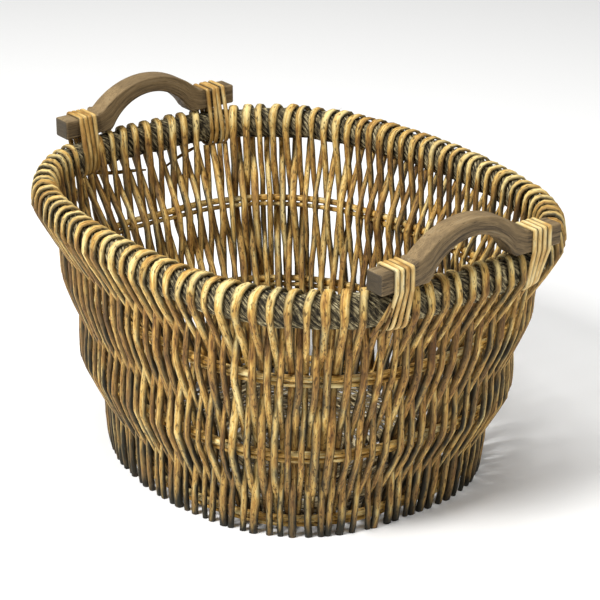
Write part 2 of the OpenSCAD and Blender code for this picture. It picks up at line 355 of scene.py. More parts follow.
class RodMesh:
    """Collects rods in one mesh, each made straight and then bent onto its path."""

    def __init__(self, rng: np.random.Generator) -> None:
        """Starts an empty mesh.

        Args:
            rng: The random source that says where on the tree each rod grew.
        """
        self.rng = rng
        self.mesh = bmesh.new()
        self.straight = self.mesh.verts.layers.float_vector.new("straight")
        self.look = self.mesh.verts.layers.float_vector.new("look")

    def add(self, rod: Rod) -> None:
        """Makes one rod and bends it.

        Args:
            rod: The rod to make.
        """
        count = len(rod.points)
        first = len(self.mesh.verts)
        made = bmesh.ops.create_cone(
            self.mesh, cap_ends=not rod.closed, cap_tris=False, segments=rod.sides,
            radius1=1.0, radius2=1.0, depth=1.0)
        long_edges = {e for v in made["verts"] for e in v.link_edges
                      if abs(e.verts[0].co.z - e.verts[1].co.z) > 0.5}
        bmesh.ops.subdivide_edges(self.mesh, edges=list(long_edges), cuts=count - 2)
        verts = list(self.mesh.verts)[first:]
        self.bend(verts, rod)

    def bend(self, verts: list, rod: Rod) -> None:
        """Moves a straight rod's corners onto its path and keeps where they were.

        Args:
            verts: The straight rod's corners, one unit long and two across.
            rod: The path and the sizes.
        """
        count = len(rod.points)
        flat = np.array([v.co[:] for v in verts])
        place = np.rint((flat[:, 2] + 0.5) * (count - 1)).astype(int)
        run = np.r_[0, np.cumsum(np.linalg.norm(np.diff(rod.points, axis=0), axis=1))]
        if rod.closed:
            ring = rod.points[:-1]
            ahead = np.roll(ring, -1, 0) - np.roll(ring, 1, 0)
            ahead = unit(np.vstack([ahead, ahead[:1]]))
        else:
            ahead = unit(np.gradient(rod.points, axis=0))
        side = unit(rod.across - ahead * np.sum(rod.across * ahead, 1, keepdims=True))
        up = np.cross(ahead, side)
        angle = np.arctan2(flat[:, 1], flat[:, 0])
        turned = angle + rod.twist * 2 * math.pi * place / (count - 1)
        groove = 1 - np.abs(np.cos(rod.lobes * angle / 2)) ** GROOVE_SHAPE
        inset = rod.lobe_depth * groove
        wide = (rod.half_w[place] - inset) * power(np.cos(turned), rod.square)
        deep = (rod.half_t[place] - inset) * power(np.sin(turned), rod.square)
        where = rod.points[place] + wide[:, None] * side[place] + deep[:, None] * up[place]
        where[:, 2] = np.maximum(where[:, 2], 0.0)
        reach = rod.half_w[place].max()
        start = self.rng.uniform(-5, 5, 3)
        kept = np.stack([reach * np.cos(angle), reach * np.sin(angle), run[place]], -1) + start
        # A rod without a shade of its own gets painted shade down in the grooves between its
        # strands
        shade = rod.shade[place] if rod.shade is not None else GROOVE_SHADE * groove
        # Painted shade on the two sides that face the next rods
        shade = shade + rod.side_shade * np.abs(np.cos(angle)) ** SIDE_SHADE_FALL
        tint = np.broadcast_to(rod.tint, (count,))[place]
        at_end = (place == 0) | (place == count - 1)
        seam = np.where(at_end & rod.closed, 1.0, 0.0)
        for v, p, s, t, d, join in zip(verts, where, kept, tint, shade, seam):
            v.co = p
            v[self.straight] = s
            v[self.look] = (t, d, join)

    def finish(self, name: str) -> bpy.types.Object:
        """Turns the collected rods into an object at the origin.

        Args:
            name: The object's name.

        Returns:
            The object, shaded smooth but for its cut ends.
        """
        seams = [v for v in self.mesh.verts if v[self.look].z > 0.5]
        bmesh.ops.remove_doubles(self.mesh, verts=seams, dist=WELD)
        for face in self.mesh.faces:
            face.smooth = len(face.verts) == 4
        return link_mesh(self.mesh, name)


def link_mesh(mesh: bmesh.types.BMesh, name: str) -> bpy.types.Object:
    """Writes a bmesh to a new object in the scene and frees it.

    Args:
        mesh: The finished bmesh.
        name: Name of the object and its mesh.

    Returns:
        The new object.
    """
    data = bpy.data.meshes.new(name)
    mesh.to_mesh(data)
    mesh.free()
    piece = bpy.data.objects.new(name, data)
    bpy.context.scene.collection.objects.link(piece)
    return piece


def hand_over(piece: bpy.types.Object, material: bpy.types.Material, slot: str,
              *nodes: str) -> None:
    """Dresses a piece, fixes it to the basket and reports it.

    Args:
        piece: The piece.
        material: Its finish.
        slot: The piece's material slot; not used.
        *nodes: The CAD nodes that the piece stands for.
    """
    piece.data.materials.append(material)
    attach(piece, "root")
    if nodes:
        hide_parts(*nodes)
    LOG.info("%s: %d faces, %s", piece.name, len(piece.data.polygons), material.name)


# ---- Finishes ----------------------------------------------------------------
# In the nodes below, a MapRange's inputs 1 to 4 are From Min, From Max, To Min and To Max,
# and a Mix's inputs 6 and 7 are its two colours.
# How a pattern is drawn out along a rod: Z runs along it, and a smaller share is longer
STREAKED = (1.0, 1.0, 0.07)
FIBROUS = (1.0, 1.0, 0.14)
MOTTLED = (1.0, 1.0, 0.4)
RINGED = (0.35, 1.0, 0.06)
# A pore in the wood is finer than a line of its grain by this share
PORE_SHARE = 0.7
# How far the roughness strays to either side of its mean
GLOSS_SPREAD = 0.12


def add(tree: bpy.types.NodeTree, kind: str, inputs: dict | None = None,
        stops: list[tuple[float, str]] | None = None, **settings: object) -> bpy.types.Node:
    """Adds one shader node with its settings, values and links.

    Args:
        tree: The material's node tree.
        kind: The node's type, without the ShaderNode at its front.
        inputs: Values or output sockets, by the input's name or number.
        stops: Places and sRGB hex colours of a colour ramp, in order.
        **settings: The node's own properties.

    Returns:
        The new node.
    """
    made = tree.nodes.new("ShaderNode" + kind)
    for name, value in settings.items():
        setattr(made, name, value)
    for key, value in (inputs or {}).items():
        if isinstance(value, bpy.types.NodeSocket):
            tree.links.new(value, made.inputs[key])
        else:
            made.inputs[key].default_value = value
    if stops:
        ends = made.color_ramp.elements
        ends[0].position, ends[0].color = stops[0][0], linear(stops[0][1])
        ends[1].position, ends[1].color = stops[-1][0], linear(stops[-1][1])
        for place, colour in stops[1:-1]:
            ends.new(place).color = linear(colour)
    return made


@dataclass(frozen=True)
class Finish:
    """What every finish has: a name and the look of its surface.

    Attributes:
        name: The real material and how its surface was made.
        roughness: The mean roughness.
        specular: The specular level, 0.5 for most things that aren't metal.
    """

    name: str
    roughness: float = 0.55
    specular: float = 0.5

    def start(self) -> tuple[bpy.types.Material, bpy.types.NodeTree, bpy.types.Node]:
        """Makes an empty material with its shader and output.

        Returns:
            The material, its node tree and its Principled shader.
        """
        material = bpy.data.materials.new(self.name)
        material.use_nodes = True
        tree = material.node_tree
        tree.nodes.clear()
        shader = add(tree, "BsdfPrincipled", {
            "Roughness": self.roughness, "Specular IOR Level": self.specular})
        add(tree, "OutputMaterial", {"Surface": shader.outputs["BSDF"]})
        return material, tree, shader


@dataclass(frozen=True)
class GrownRod(Finish):
    """Willow rods and canes: long streaks of bark, mottling, specks, weathering and painted
    shade.

    Attributes:
        dark: Colour of the brownest rods and patches.
        middle: Colour of most of the surface.
        light: Colour of the palest rods, and of the painted highlight on top of the loops.
        bright: Colour where the skin is rubbed off, and of the brightest painted highlight.
        grey: Colour of weathered stretches, and of the canes' darker lower part.
        darkest: Colour of the painted shade on the sides that face the next rods; it also darkens
            the feet and the most weathered stretches.
        speck: Colour of the small marks of buds and pores.
        streak_mm: Width of a bark streak.
        patch_mm: Size of a patch of one colour.
        speck_mm: Spacing of the small marks.
        bump_mm: Depth of the bark's furrows.
        speck_from: How rare the marks are, 0 to 1.
        speck_fade: How softly a mark fades at its edge.
        speck_most: How much of a mark's own colour it has in its middle.
        contrast: Strength of the streaks.
        mottling: Strength of the patches.
    """

    dark: str = "#61401C"
    middle: str = "#A67A39"
    light: str = "#D6AD5C"
    bright: str = "#F2D892"
    grey: str = "#544F3C"
    darkest: str = "#1F1E17"
    speck: str = "#35240F"
    streak_mm: float = 1.5
    patch_mm: float = 14.0
    speck_mm: float = 2.4
    bump_mm: float = 0.5
    speck_from: float = 0.54
    speck_fade: float = 0.11
    speck_most: float = 0.8
    contrast: float = 0.42
    mottling: float = 0.44

    def make(self) -> bpy.types.Material:
        """Builds the material.

        Returns:
            The material, which reads the rods' own coordinates.
        """
        material, tree, shader = self.start()
        grown = add(tree, "Attribute", attribute_name="straight").outputs["Vector"]
        look = add(tree, "Attribute", attribute_name="look").outputs["Vector"]
        parts = add(tree, "SeparateXYZ", {0: look})
        tint, shade = parts.outputs["X"], parts.outputs["Y"]
        drawn = add(tree, "VectorMath", {0: grown, 1: STREAKED},
                    operation="MULTIPLY").outputs[0]
        halved = add(tree, "VectorMath", {0: grown, 1: MOTTLED},
                     operation="MULTIPLY").outputs[0]
        streaks = add(tree, "TexNoise", {"Vector": drawn, "Scale": 1 / (self.streak_mm * MM),
                                         "Detail": 4.0, "Roughness": 0.65}).outputs[0]
        patches = add(tree, "TexNoise", {"Vector": halved, "Scale": 1 / (self.patch_mm * MM),
                                         "Detail": 3.0, "Roughness": 0.65}).outputs[0]
        specks = add(tree, "TexNoise", {"Vector": halved, "Scale": 1 / (self.speck_mm * MM),
                                        "Detail": 2.5, "Roughness": 0.6}).outputs[0]
        streaked = add(tree, "MapRange", {0: streaks, 1: 0.25, 2: 0.75, 3: -self.contrast,
                                          4: self.contrast}).outputs[0]
        patched = add(tree, "MapRange", {0: patches, 1: 0.3, 2: 0.7, 3: -self.mottling,
                                         4: self.mottling}).outputs[0]
        both = add(tree, "Math", {0: streaked, 1: patched}, operation="ADD").outputs[0]
        level = add(tree, "Math", {0: both, 1: tint}, operation="ADD").outputs[0]
        bark = add(tree, "ValToRGB", {0: level}, [
            (0.0, self.dark), (0.38, self.middle), (0.68, self.light),
            (1.0, self.bright)]).outputs[0]
        uneven = add(tree, "MapRange", {0: patches, 1: 0.35, 2: 0.65, 3: 0.5,
                                        4: 1.2}).outputs[0]
        # The shade channel holds weathering, the painted shade on the rods' sides and the
        # darkening towards the ground
        age = add(tree, "Math", {0: shade, 1: uneven}, operation="MULTIPLY").outputs[0]
        aged = add(tree, "Mix", {0: age, 6: bark, 7: linear(self.grey)},
                   data_type="RGBA").outputs[2]
        # Painted shade: the rods' sides go towards the dark colour, and so do the feet and the
        # most weathered stretches
        dark_share = add(tree, "MapRange", {0: age, 1: 0.4, 2: 1.0, 3: 0.0, 4: 0.9}).outputs[0]
        dark_mixed = add(tree, "Mix", {0: dark_share, 6: aged, 7: linear(self.darkest)},
                    data_type="RGBA").outputs[2]
        marks = add(tree, "MapRange", {0: specks, 1: self.speck_from,
                                       2: self.speck_from + self.speck_fade, 3: 0.0,
                                       4: self.speck_most}).outputs[0]
        marked = add(tree, "Mix", {0: marks, 6: dark_mixed, 7: linear(self.speck)},
                     data_type="RGBA").outputs[2]
        tree.links.new(marked, shader.inputs["Base Color"])
        gloss = add(tree, "MapRange", {0: streaks, 1: 0.3, 2: 0.7,
                                       3: self.roughness + GLOSS_SPREAD,
                                       4: self.roughness - GLOSS_SPREAD}).outputs[0]
        tree.links.new(gloss, shader.inputs["Roughness"])
        height = add(tree, "Math", {0: streaks, 1: specks}, operation="SUBTRACT").outputs[0]
        bump = add(tree, "Bump", {"Height": height, "Strength": 0.7,
                                  "Distance": self.bump_mm * MM}).outputs[0]
        tree.links.new(bump, shader.inputs["Normal"])
        return material


@dataclass(frozen=True)
class TwistedGrass(Finish):
    """Rope of dried grass: fine fibres along each strand, straw on grey-brown, with painted shade
    between the strands.

    Attributes:
        deep: Colour of the painted shade down between the strands.
        body: Colour of most of the rope.
        straw: Colour of dry fibres.
        tip: Colour of the palest fibres.
        fibre_mm: Width of a fibre, drawn twice as wide as the real one so that it shows.
        patch_mm: Size of a patch of one colour.
        bump_mm: Depth between fibres.
        mottling: Strength of the patches.
    """

    deep: str = "#242017"
    body: str = "#60563F"
    straw: str = "#9C8E68"
    tip: str = "#C8BB94"
    fibre_mm: float = 1.2
    patch_mm: float = 5.0
    bump_mm: float = 1.0
    mottling: float = 0.38

    def make(self) -> bpy.types.Material:
        """Builds the material.

        Returns:
            The material, which reads the strands' own coordinates.
        """
        material, tree, shader = self.start()
        grown = add(tree, "Attribute", attribute_name="straight").outputs["Vector"]
        look = add(tree, "Attribute", attribute_name="look").outputs["Vector"]
        groove = add(tree, "SeparateXYZ", {0: look}).outputs["Y"]
        drawn = add(tree, "VectorMath", {0: grown, 1: FIBROUS},
                    operation="MULTIPLY").outputs[0]
        fibres = add(tree, "TexNoise", {"Vector": drawn, "Scale": 1 / (self.fibre_mm * MM),
                                        "Detail": 4.0, "Roughness": 0.7,
                                        "Distortion": 0.5}).outputs[0]
        patches = add(tree, "TexNoise", {"Vector": grown, "Scale": 1 / (self.patch_mm * MM),
                                         "Detail": 3.0}).outputs[0]
        dry = add(tree, "MapRange", {0: fibres, 1: 0.34, 2: 0.66}).outputs[0]
        patched = add(tree, "MapRange", {0: patches, 1: 0.3, 2: 0.7, 3: -self.mottling,
                                         4: self.mottling}).outputs[0]
        both = add(tree, "Math", {0: dry, 1: patched}, operation="ADD").outputs[0]
        # Painted shade down in the grooves between strands
        level = add(tree, "Math", {0: both, 1: groove}, operation="SUBTRACT").outputs[0]
        grass = add(tree, "ValToRGB", {0: level}, [
            (0.1, self.deep), (0.48, self.body), (0.76, self.straw), (1.0, self.tip)]).outputs[0]
        tree.links.new(grass, shader.inputs["Base Color"])
        bump = add(tree, "Bump", {"Height": fibres, "Strength": 1.0,
                                  "Distance": self.bump_mm * MM}).outputs[0]
        tree.links.new(bump, shader.inputs["Normal"])
        return material


@dataclass(frozen=True)
class WeatheredWood(Finish):
    """Unfinished hardwood gone grey-brown: open grain, fine checks, rubbed edges.

    Attributes:
        dark: Colour of the late wood in each ring.
        middle: Colour of most of the surface.
        light: Colour of the early wood.
        silver: Colour of the most weathered streaks.
        worn: Colour where hands have rubbed it.
        pore: Colour of the open pores and checks.
        end: Colour of the end grain.
        grain_mm: Width of a line of the grain.
        ring_mm: Spacing of the growth rings.
        bump_mm: Depth of the grain.
    """

    dark: str = "#2A2117"
    middle: str = "#5A4B35"
    light: str = "#826D4C"
    silver: str = "#867B64"
    worn: str = "#957C55"
    pore: str = "#241C13"
    end: str = "#3A342A"
    grain_mm: float = 1.2
    ring_mm: float = 6.0
    bump_mm: float = 0.6

    def make(self) -> bpy.types.Material:
        """Builds the material.

        Returns:
            The material, which reads the bow's own coordinates before it was bent.
        """
        material, tree, shader = self.start()
        grown = add(tree, "Attribute", attribute_name="straight").outputs["Vector"]
        look = add(tree, "Attribute", attribute_name="look").outputs["Vector"]
        parts = add(tree, "SeparateXYZ", {0: look})
        end_face, paling = parts.outputs["X"], parts.outputs["Y"]
        drawn = add(tree, "VectorMath", {0: grown, 1: STREAKED},
                    operation="MULTIPLY").outputs[0]
        ringed = add(tree, "VectorMath", {0: grown, 1: RINGED},
                     operation="MULTIPLY").outputs[0]
        grain = add(tree, "TexNoise", {"Vector": drawn, "Scale": 1 / (self.grain_mm * MM),
                                       "Detail": 5.0, "Roughness": 0.75}).outputs[0]
        rings = add(tree, "TexNoise", {"Vector": ringed, "Scale": 1 / (self.ring_mm * MM),
                                       "Detail": 3.0, "Distortion": 0.8}).outputs[0]
        pores = add(tree, "TexNoise", {"Vector": drawn, "Detail": 2.0,
                                       "Scale": 1 / (PORE_SHARE * self.grain_mm * MM)}).outputs[0]
        grained = add(tree, "MapRange", {0: grain, 1: 0.34, 2: 0.66, 3: 0.0, 4: 0.55}).outputs[0]
        ring = add(tree, "MapRange", {0: rings, 1: 0.34, 2: 0.66, 3: 0.0, 4: 0.5}).outputs[0]
        both = add(tree, "Math", {0: grained, 1: ring}, operation="ADD").outputs[0]
        colour = add(tree, "ValToRGB", {0: both}, [
            (0.08, self.dark), (0.42, self.middle), (0.72, self.light),
            (1.0, self.silver)]).outputs[0]
        for source, low, high, most, over in ((paling, 0.25, 1.0, 0.4, self.worn),
                                              (pores, 0.38, 0.28, 0.8, self.pore),
                                              (end_face, 0.0, 1.0, 0.85, self.end)):
            amount = add(tree, "MapRange", {0: source, 1: low, 2: high, 3: 0.0,
                                            4: most}).outputs[0]
            colour = add(tree, "Mix", {0: amount, 6: colour, 7: linear(over)},
                         data_type="RGBA").outputs[2]
        tree.links.new(colour, shader.inputs["Base Color"])
        height = add(tree, "Math", {0: grain, 1: rings}, operation="ADD").outputs[0]
        bump = add(tree, "Bump", {"Height": height, "Strength": 0.8,
                                  "Distance": self.bump_mm * MM}).outputs[0]
        tree.links.new(bump, shader.inputs["Normal"])
        return material


# Buff willow, boiled in its bark and stripped: satin, golden tan, with brown flecks
BUFF_WILLOW = GrownRod("buff_willow_stripped", roughness=0.6, specular=0.22)
# Peeled willow rods: paler and drier, with patches of inner bark left on
PEELED_HOOP = GrownRod("peeled_willow_rod", roughness=0.6, specular=0.32, dark="#5C4018",
                       middle="#C4923E", light="#E6BC68", bright="#FAE6A6", streak_mm=2.0,
                       patch_mm=20.0)
# Split willow skein: smooth and pale, with a slight gloss on its outer skin
LASHING_SKEIN = GrownRod("split_willow_skein", roughness=0.48, specular=0.4, dark="#8E6428",
                         middle="#C2964A", light="#E4C27A", bright="#F6E2A8",
                         contrast=0.28, speck_from=0.64, streak_mm=1.2)
# Fine base canes: dull, greyish and darker than the wall
BASE_SKEIN = GrownRod("woven_base_skein", roughness=0.7, specular=0.3, dark="#2E271B",
                      middle="#645539", light="#A08E66", bright="#DCCDA4", streak_mm=1.0,
                      patch_mm=12.0)
# The same willow in the round, for the sticks that the base is woven on
BASE_STICK = replace(BASE_SKEIN, name="base_willow_stick")
# Hand-twisted dried grass: matt and fibrous, with painted shade between its strands
GRASS_ROPE = TwistedGrass("twisted_dried_grass", roughness=0.85, specular=0.25)
# Weathered hardwood: dry, open-grained, with edges rubbed by hands
BOW_WOOD = WeatheredWood("weathered_hardwood_sawn", roughness=0.7, specular=0.3)


# ---- Sub-assemblies ----------------------------------------------------------
@dataclass
class RimRope:
    """The twisted grass rope inside the rim, with its stray fibres.

    Attributes:
        plan: The basket's shared sizes.
        strands: Number of strands laid together.
        corners_per_strand: Corners of the section for each strand.
        turns: Turns of the lay, once round the rim.
        spacing: Distance between the rings of the mesh.
        groove: Depth between strands.
        stray_count: Number of loose fibres.
        lift: How far the rope is pulled up by the canes, off its underside.
        lumps: Swelling of the rope in waves: size, number round the rim, and start.
        stray_steps: Rings of a loose fibre's mesh.
        stray_length: Shortest and longest of the loose fibres.
        stray_below: How far below the rope's widest part they start, as an angle in radians.
        stray_bow: How far round a loose fibre bows, as an angle in radians.
        stray_root: How deep a loose fibre starts in the rope.
        stray_r: Half of a loose fibre's mean width near its root.
        stray_rise: How far a loose fibre bows off the rope.
    """

    plan: Plan
    strands: int = 15
    corners_per_strand: int = 6
    turns: int = 17
    spacing: float = 4.2 * MM
    groove: float = 2.0 * MM
    stray_count: int = 420
    lift: float = 1.3 * MM
    lumps: tuple[tuple[float, int, float], ...] = ((0.035, 23, 0.0), (0.03, 41, 1.0))
    stray_steps: int = 5
    stray_length: tuple[float, float] = (4 * MM, 9 * MM)
    stray_below: float = 0.3
    stray_bow: float = 2.2
    stray_root: float = 0.8 * MM
    stray_r: float = 0.38 * MM
    stray_rise: float = 1.9 * MM

    def build(self, material: bpy.types.Material) -> None:
        """Makes the rope.

        Args:
            material: The rope's finish.
        """
        rng = np.random.default_rng(SEED + 1)
        rods = RodMesh(rng)
        rings = int(4 * self.plan.rope.quarter / self.spacing)
        share = np.linspace(0, 1, rings + 1)
        at, normal = self.plan.rope.at(share)
        run = share * 4 * self.plan.rope.quarter
        lump = 1.0
        for size, count, start in self.lumps:
            lump = lump + size * np.sin(2 * math.pi * count * share + start)
        points = at + np.array([0, 0, self.plan.rope_z + self.lift])
        half_h = self.plan.rope_h / 2 - self.lift
        rods.add(Rod(points, normal, self.plan.rope_w / 2 * lump, half_h * lump,
                     sides=self.strands * self.corners_per_strand, closed=True,
                     twist=self.turns, square=ROPE_SQUARE, lobes=self.strands,
                     lobe_depth=self.groove))
        for _ in range(self.stray_count):
            rods.add(self.stray(rng))
        hand_over(rods.finish("twisted_grass_rim"), material, "grass_rope", "rim_rope")

    def stray(self, rng: np.random.Generator) -> Rod:
        """Makes a loose fibre that stands off the rope.

        Args:
            rng: The random source.

        Returns:
            The fibre.
        """
        share = rng.uniform(0, 1)
        at, normal = self.plan.rope.at(np.array([share]))
        at, normal = at[0], normal[0]
        along = np.array([-normal[1], normal[0], 0])
        around = rng.uniform(-self.stray_below, math.pi + self.stray_below)
        out = normal * math.cos(around) + np.array([0, 0, math.sin(around)])
        skin = (normal * math.cos(around) * self.plan.rope_w / 2
                + np.array([0, 0, math.sin(around) * self.plan.rope_h / 2]))
        tangent = along * rng.choice([-1, 1]) + np.array([0, 0, rng.uniform(-1, 1)])
        length = rng.uniform(*self.stray_length)
        t = np.linspace(0, 1, self.stray_steps)[:, None]
        curve = (skin + at + np.array([0, 0, self.plan.rope_z]) - out * self.stray_root
                 + tangent * length * t + out * (self.stray_rise * np.sin(t * self.stray_bow)))
        width = self.stray_r * (1.1 - 0.8 * t[:, 0])
        return Rod(curve, np.tile(out, (self.stray_steps, 1)), width, width, sides=3)


@dataclass
class Hoops:
    """Three pairs of willow rods round the basket, each closed by a scarf joint.

    Attributes:
        plan: The basket's shared sizes.
        spacing: Distance between the rings of the mesh.
        scarf: Length over which the two ends are shaved down and laid together.
        tip: Thickness of a shaved end, as a share of the whole.
        slimmer: Mean thickness, as a share of its CAD node's, which leaves room for buds.
        wander: How far a hand-bent rod strays from its oval.
        tints: Brownest and palest tint of a rod.
        age: Mean weathering.
        oldest: Most weathering of a stretch.
        side_shade: Painted shade where the two rods of a pair meet.
    """

    plan: Plan
    spacing: float = 5.0 * MM
    scarf: float = 55 * MM
    tip: float = 0.12
    slimmer: float = 0.94
    wander: float = 0.5 * MM
    tints: tuple[float, float] = (0.56, 0.68)
    age: float = 0.02
    oldest: float = 0.75
    side_shade: float = 0.3

    def build(self, material: bpy.types.Material) -> None:
        """Makes the six hoops.

        Args:
            material: The hoops' finish.
        """
        for number, (name, oval) in enumerate(self.plan.hoops.items()):
            rng = np.random.default_rng(SEED + 20 + number)
            rods = RodMesh(rng)
            rods.add(self.hoop(rng, name, oval))
            hand_over(rods.finish(f"{name}_rod"), material, "hoop_willow", name)

    def hoop(self, rng: np.random.Generator, name: str, oval: Oval) -> Rod:
        """Makes one hoop with its ends shaved down and laid on each other.

        Args:
            rng: The random source.
            name: The hoop's CAD node.
            oval: Its middle line.

        Returns:
            The rod.
        """
        radius = self.plan.hoop_r[name]
        length = 4 * oval.quarter
        count = int((length + self.scarf) / self.spacing)
        run = np.linspace(0, length + self.scarf, count)
        start = rng.uniform(0.1, 0.4)
        at, normal = oval.at(start + run / length)
        from_start = np.clip(run / self.scarf, 0, 1)
        from_end = np.clip((length + self.scarf - run) / self.scarf, 0, 1)
        left = self.tip + (1 - self.tip) * np.minimum(from_start, from_end)
        push = radius * (1 - left) * np.where(from_start < 1, 1.0, -1.0)
        size = radius * (self.slimmer + waves(rng, run, length=0.3, size=0.05) + buds(rng, run))
        stray = waves(rng, run, length=0.16, size=self.wander)
        points = at + normal * (push + stray)[:, None]
        points[:, 2] = self.plan.hoop_z[name] + waves(rng, run, length=0.2, size=self.wander)
        up = np.tile([0.0, 0.0, 1.0], (count, 1))
        shade = np.clip(self.age + waves(rng, run, length=0.1, size=0.34), 0, self.oldest)
        return Rod(points, up, size, size * left, tint=rng.uniform(*self.tints), shade=shade,
                   side_shade=self.side_shade)


@dataclass
class WallCanes:
    """The hairpins: each loops over the rope, with a leg on each side of the hoops.

    Attributes:
        plan: The basket's shared sizes.
        spacing: Distance between the rings of the mesh.
        loop_steps: Rings over the rope.
        leg_flatten: Thickness over width of a leg.
        flatten: Thickness over width on top of the rope.
        spread: Widening on top of the rope.
        section: How square the section is: 1 is round.
        sway: How far a leg bends along the rim.
        kink: How far a loop stands off the rope at its kinks.
        slant: How far a loop's top leans along the rim, in pitches.
        shoulder: How square a loop's shoulders are: 1 is round.
        slack: Least and most room between a loop and the rope.
        rope_gap: Clearance between a cane and the rope.
        loop_below: How far below the rope's middle the loop starts.
        calm_run: Stretch below the loop in which a leg's bends die out.
        tuck: How far out a short cane stops under the rope, as a share of a long one.
        uneven: How far a leg strays from its place, in pitches.
        foot_uneven: How much further than that a foot strays, as a factor.
        straightness: How straight a leg runs from the ground up, between its supports.
        taper: How much thinner one end is than the middle.
        widths: Least and most width of a cane, as a share of the mean.
        inner_share: Width of a short inner cane, as a share of its outer one's.
        tint: Mean tint of a cane.
        tint_spread: How much canes differ in tint.
        tints: Brownest and palest tint of a cane.
        age: Weathering near the rope.
        lower_darkening: How much darker and greyer a cane grows towards the ground.
        darker_below: Height at which that starts, as a share of the rope's height.
        oldest: Most weathering of a stretch, before the darkening of its foot.
        squash_from: Height above the rope's middle at which a cane starts to flatten.
        squash_run: Height over which it flattens.
        highlight_run: Height above the rope's middle over which its painted highlight grows.
        foot_dark_height: Height up to which the feet are darker.
        foot_darkening: How much darker the feet are at the ground.
        brown_shade_from: Height at which an inner leg starts to grow browner.
        brown_shade_run: Height over which it does so.
        side_shade: Painted shade on the sides that face the next canes.
        browner: How much browner an inner leg is under the rim: painted shade of the rim, and
            partly the cane's own browner colour.
        paling: How much paler the top of a loop is, as a painted highlight where the loops catch
            the light from above.
    """

    plan: Plan
    spacing: float = 5.5 * MM
    loop_steps: int = 10
    leg_flatten: float = 0.86
    flatten: float = 0.52
    spread: float = 1.2
    section: float = 0.86
    sway: float = 0.7 * MM
    kink: float = 1.0 * MM
    slant: float = 0.09
    shoulder: float = 0.75
    slack: tuple[float, float] = (0.1 * MM, 0.6 * MM)
    rope_gap: float = 0.4 * MM
    loop_below: float = 4 * MM
    calm_run: float = 40 * MM
    tuck: float = 0.35
    uneven: float = 0.17
    foot_uneven: float = 1.6
    straightness: tuple[float, float, float] = (0.55, 0.5, 0.75)
    taper: float = 0.13
    widths: tuple[float, float] = (0.82, 1.16)
    inner_share: float = 0.95
    tint: float = 0.53
    tint_spread: float = 0.1
    tints: tuple[float, float] = (0.25, 0.8)
    age: float = 0.02
    lower_darkening: float = 0.4
    darker_below: float = 0.95
    oldest: float = 0.6
    squash_from: float = -12 * MM
    squash_run: float = 20 * MM
    highlight_run: float = 8 * MM
    foot_dark_height: float = 26 * MM
    foot_darkening: float = 0.5
    brown_shade_from: float = 150 * MM
    brown_shade_run: float = 60 * MM
    side_shade: float = 0.75
    browner: float = 0.16
    paling: float = 0.26

    def build(self, material: bpy.types.Material) -> None:
        """Makes every group of wall canes.

        Args:
            material: The canes' finish.
        """
        for group in range(1, self.plan.group_count + 1):
            rng = np.random.default_rng(SEED + 100 + group)
            rods = RodMesh(rng)
            first = (group - 1) * self.plan.group_size
            for index in range(first, first + self.plan.group_size):
                for rod in self.hairpin(rng, index):
                    rods.add(rod)
            hand_over(rods.finish(f"woven_canes_{group:02d}"), material, "wall_willow",
                      f"wall_canes_{group:02d}")

    def near_lashing(self, index: int) -> bool:
        """Says whether a hairpin's place is taken by a lashing.

        Args:
            index: The hairpin's number round the rim.

        Returns:
            True if it is made as two short canes.
        """
        half = self.plan.cane_count // 2
        from_end = abs((index + half // 2) % half - half // 2)
        low = math.floor(self.plan.lash_place)
        return from_end in (low, low + 1)

    def hairpin(self, rng: np.random.Generator, index: int) -> list[Rod]:
        """Makes a hairpin, or the two short canes that take its place at a lashing.

        Args:
            rng: The random source.
            index: The hairpin's number round the rim.

        Returns:
            One rod or two.
        """
        outer = index / self.plan.cane_count
        inner = (index + self.plan.cane_lean) / self.plan.cane_count
        size = self.plan.cane_r * rng.uniform(*self.widths)
        tint = float(np.clip(rng.normal(self.tint, self.tint_spread), *self.tints))
        if self.near_lashing(index):
            return [self.dress(rng, self.leg(rng, outer, 1, True), size, tint, 0),
                    self.dress(rng, self.leg(rng, inner, -1, True), size * self.inner_share,
                              tint, 0)]
        up = self.leg(rng, outer, 1, False)
        down = self.leg(rng, inner, -1, False)[::-1]
        loop = self.loop(rng, outer, inner)
        path = np.vstack([up, loop, down])
        return [self.dress(rng, path, size, tint, rng.choice([-1, 1]))]

    def stops(self, side: int, short: bool) -> list[tuple[float, Oval, float]]:
        """Lists what holds a leg, from the ground up.

        Args:
            side: 1 if it passes outside the rope, and -1 if inside.
            short: True if it stops under the rope.

        Returns:
            For each stop its height, its oval and how far outside that the leg passes.
        """
        plan = self.plan
        rope_out = plan.rope_w / 2 + plan.cane_r * self.flatten + self.rope_gap
        if short:
            rope_out *= self.tuck
        return [(0.0, plan.ground, -side * plan.foot_out),
                (plan.level_z[Level.MIDDLE], plan.levels[Level.MIDDLE], side * plan.weave_out),
                (plan.level_z[Level.UPPER], plan.levels[Level.UPPER], -side * plan.weave_out),
                (plan.rope_z - self.loop_below, plan.rope, side * rope_out)]

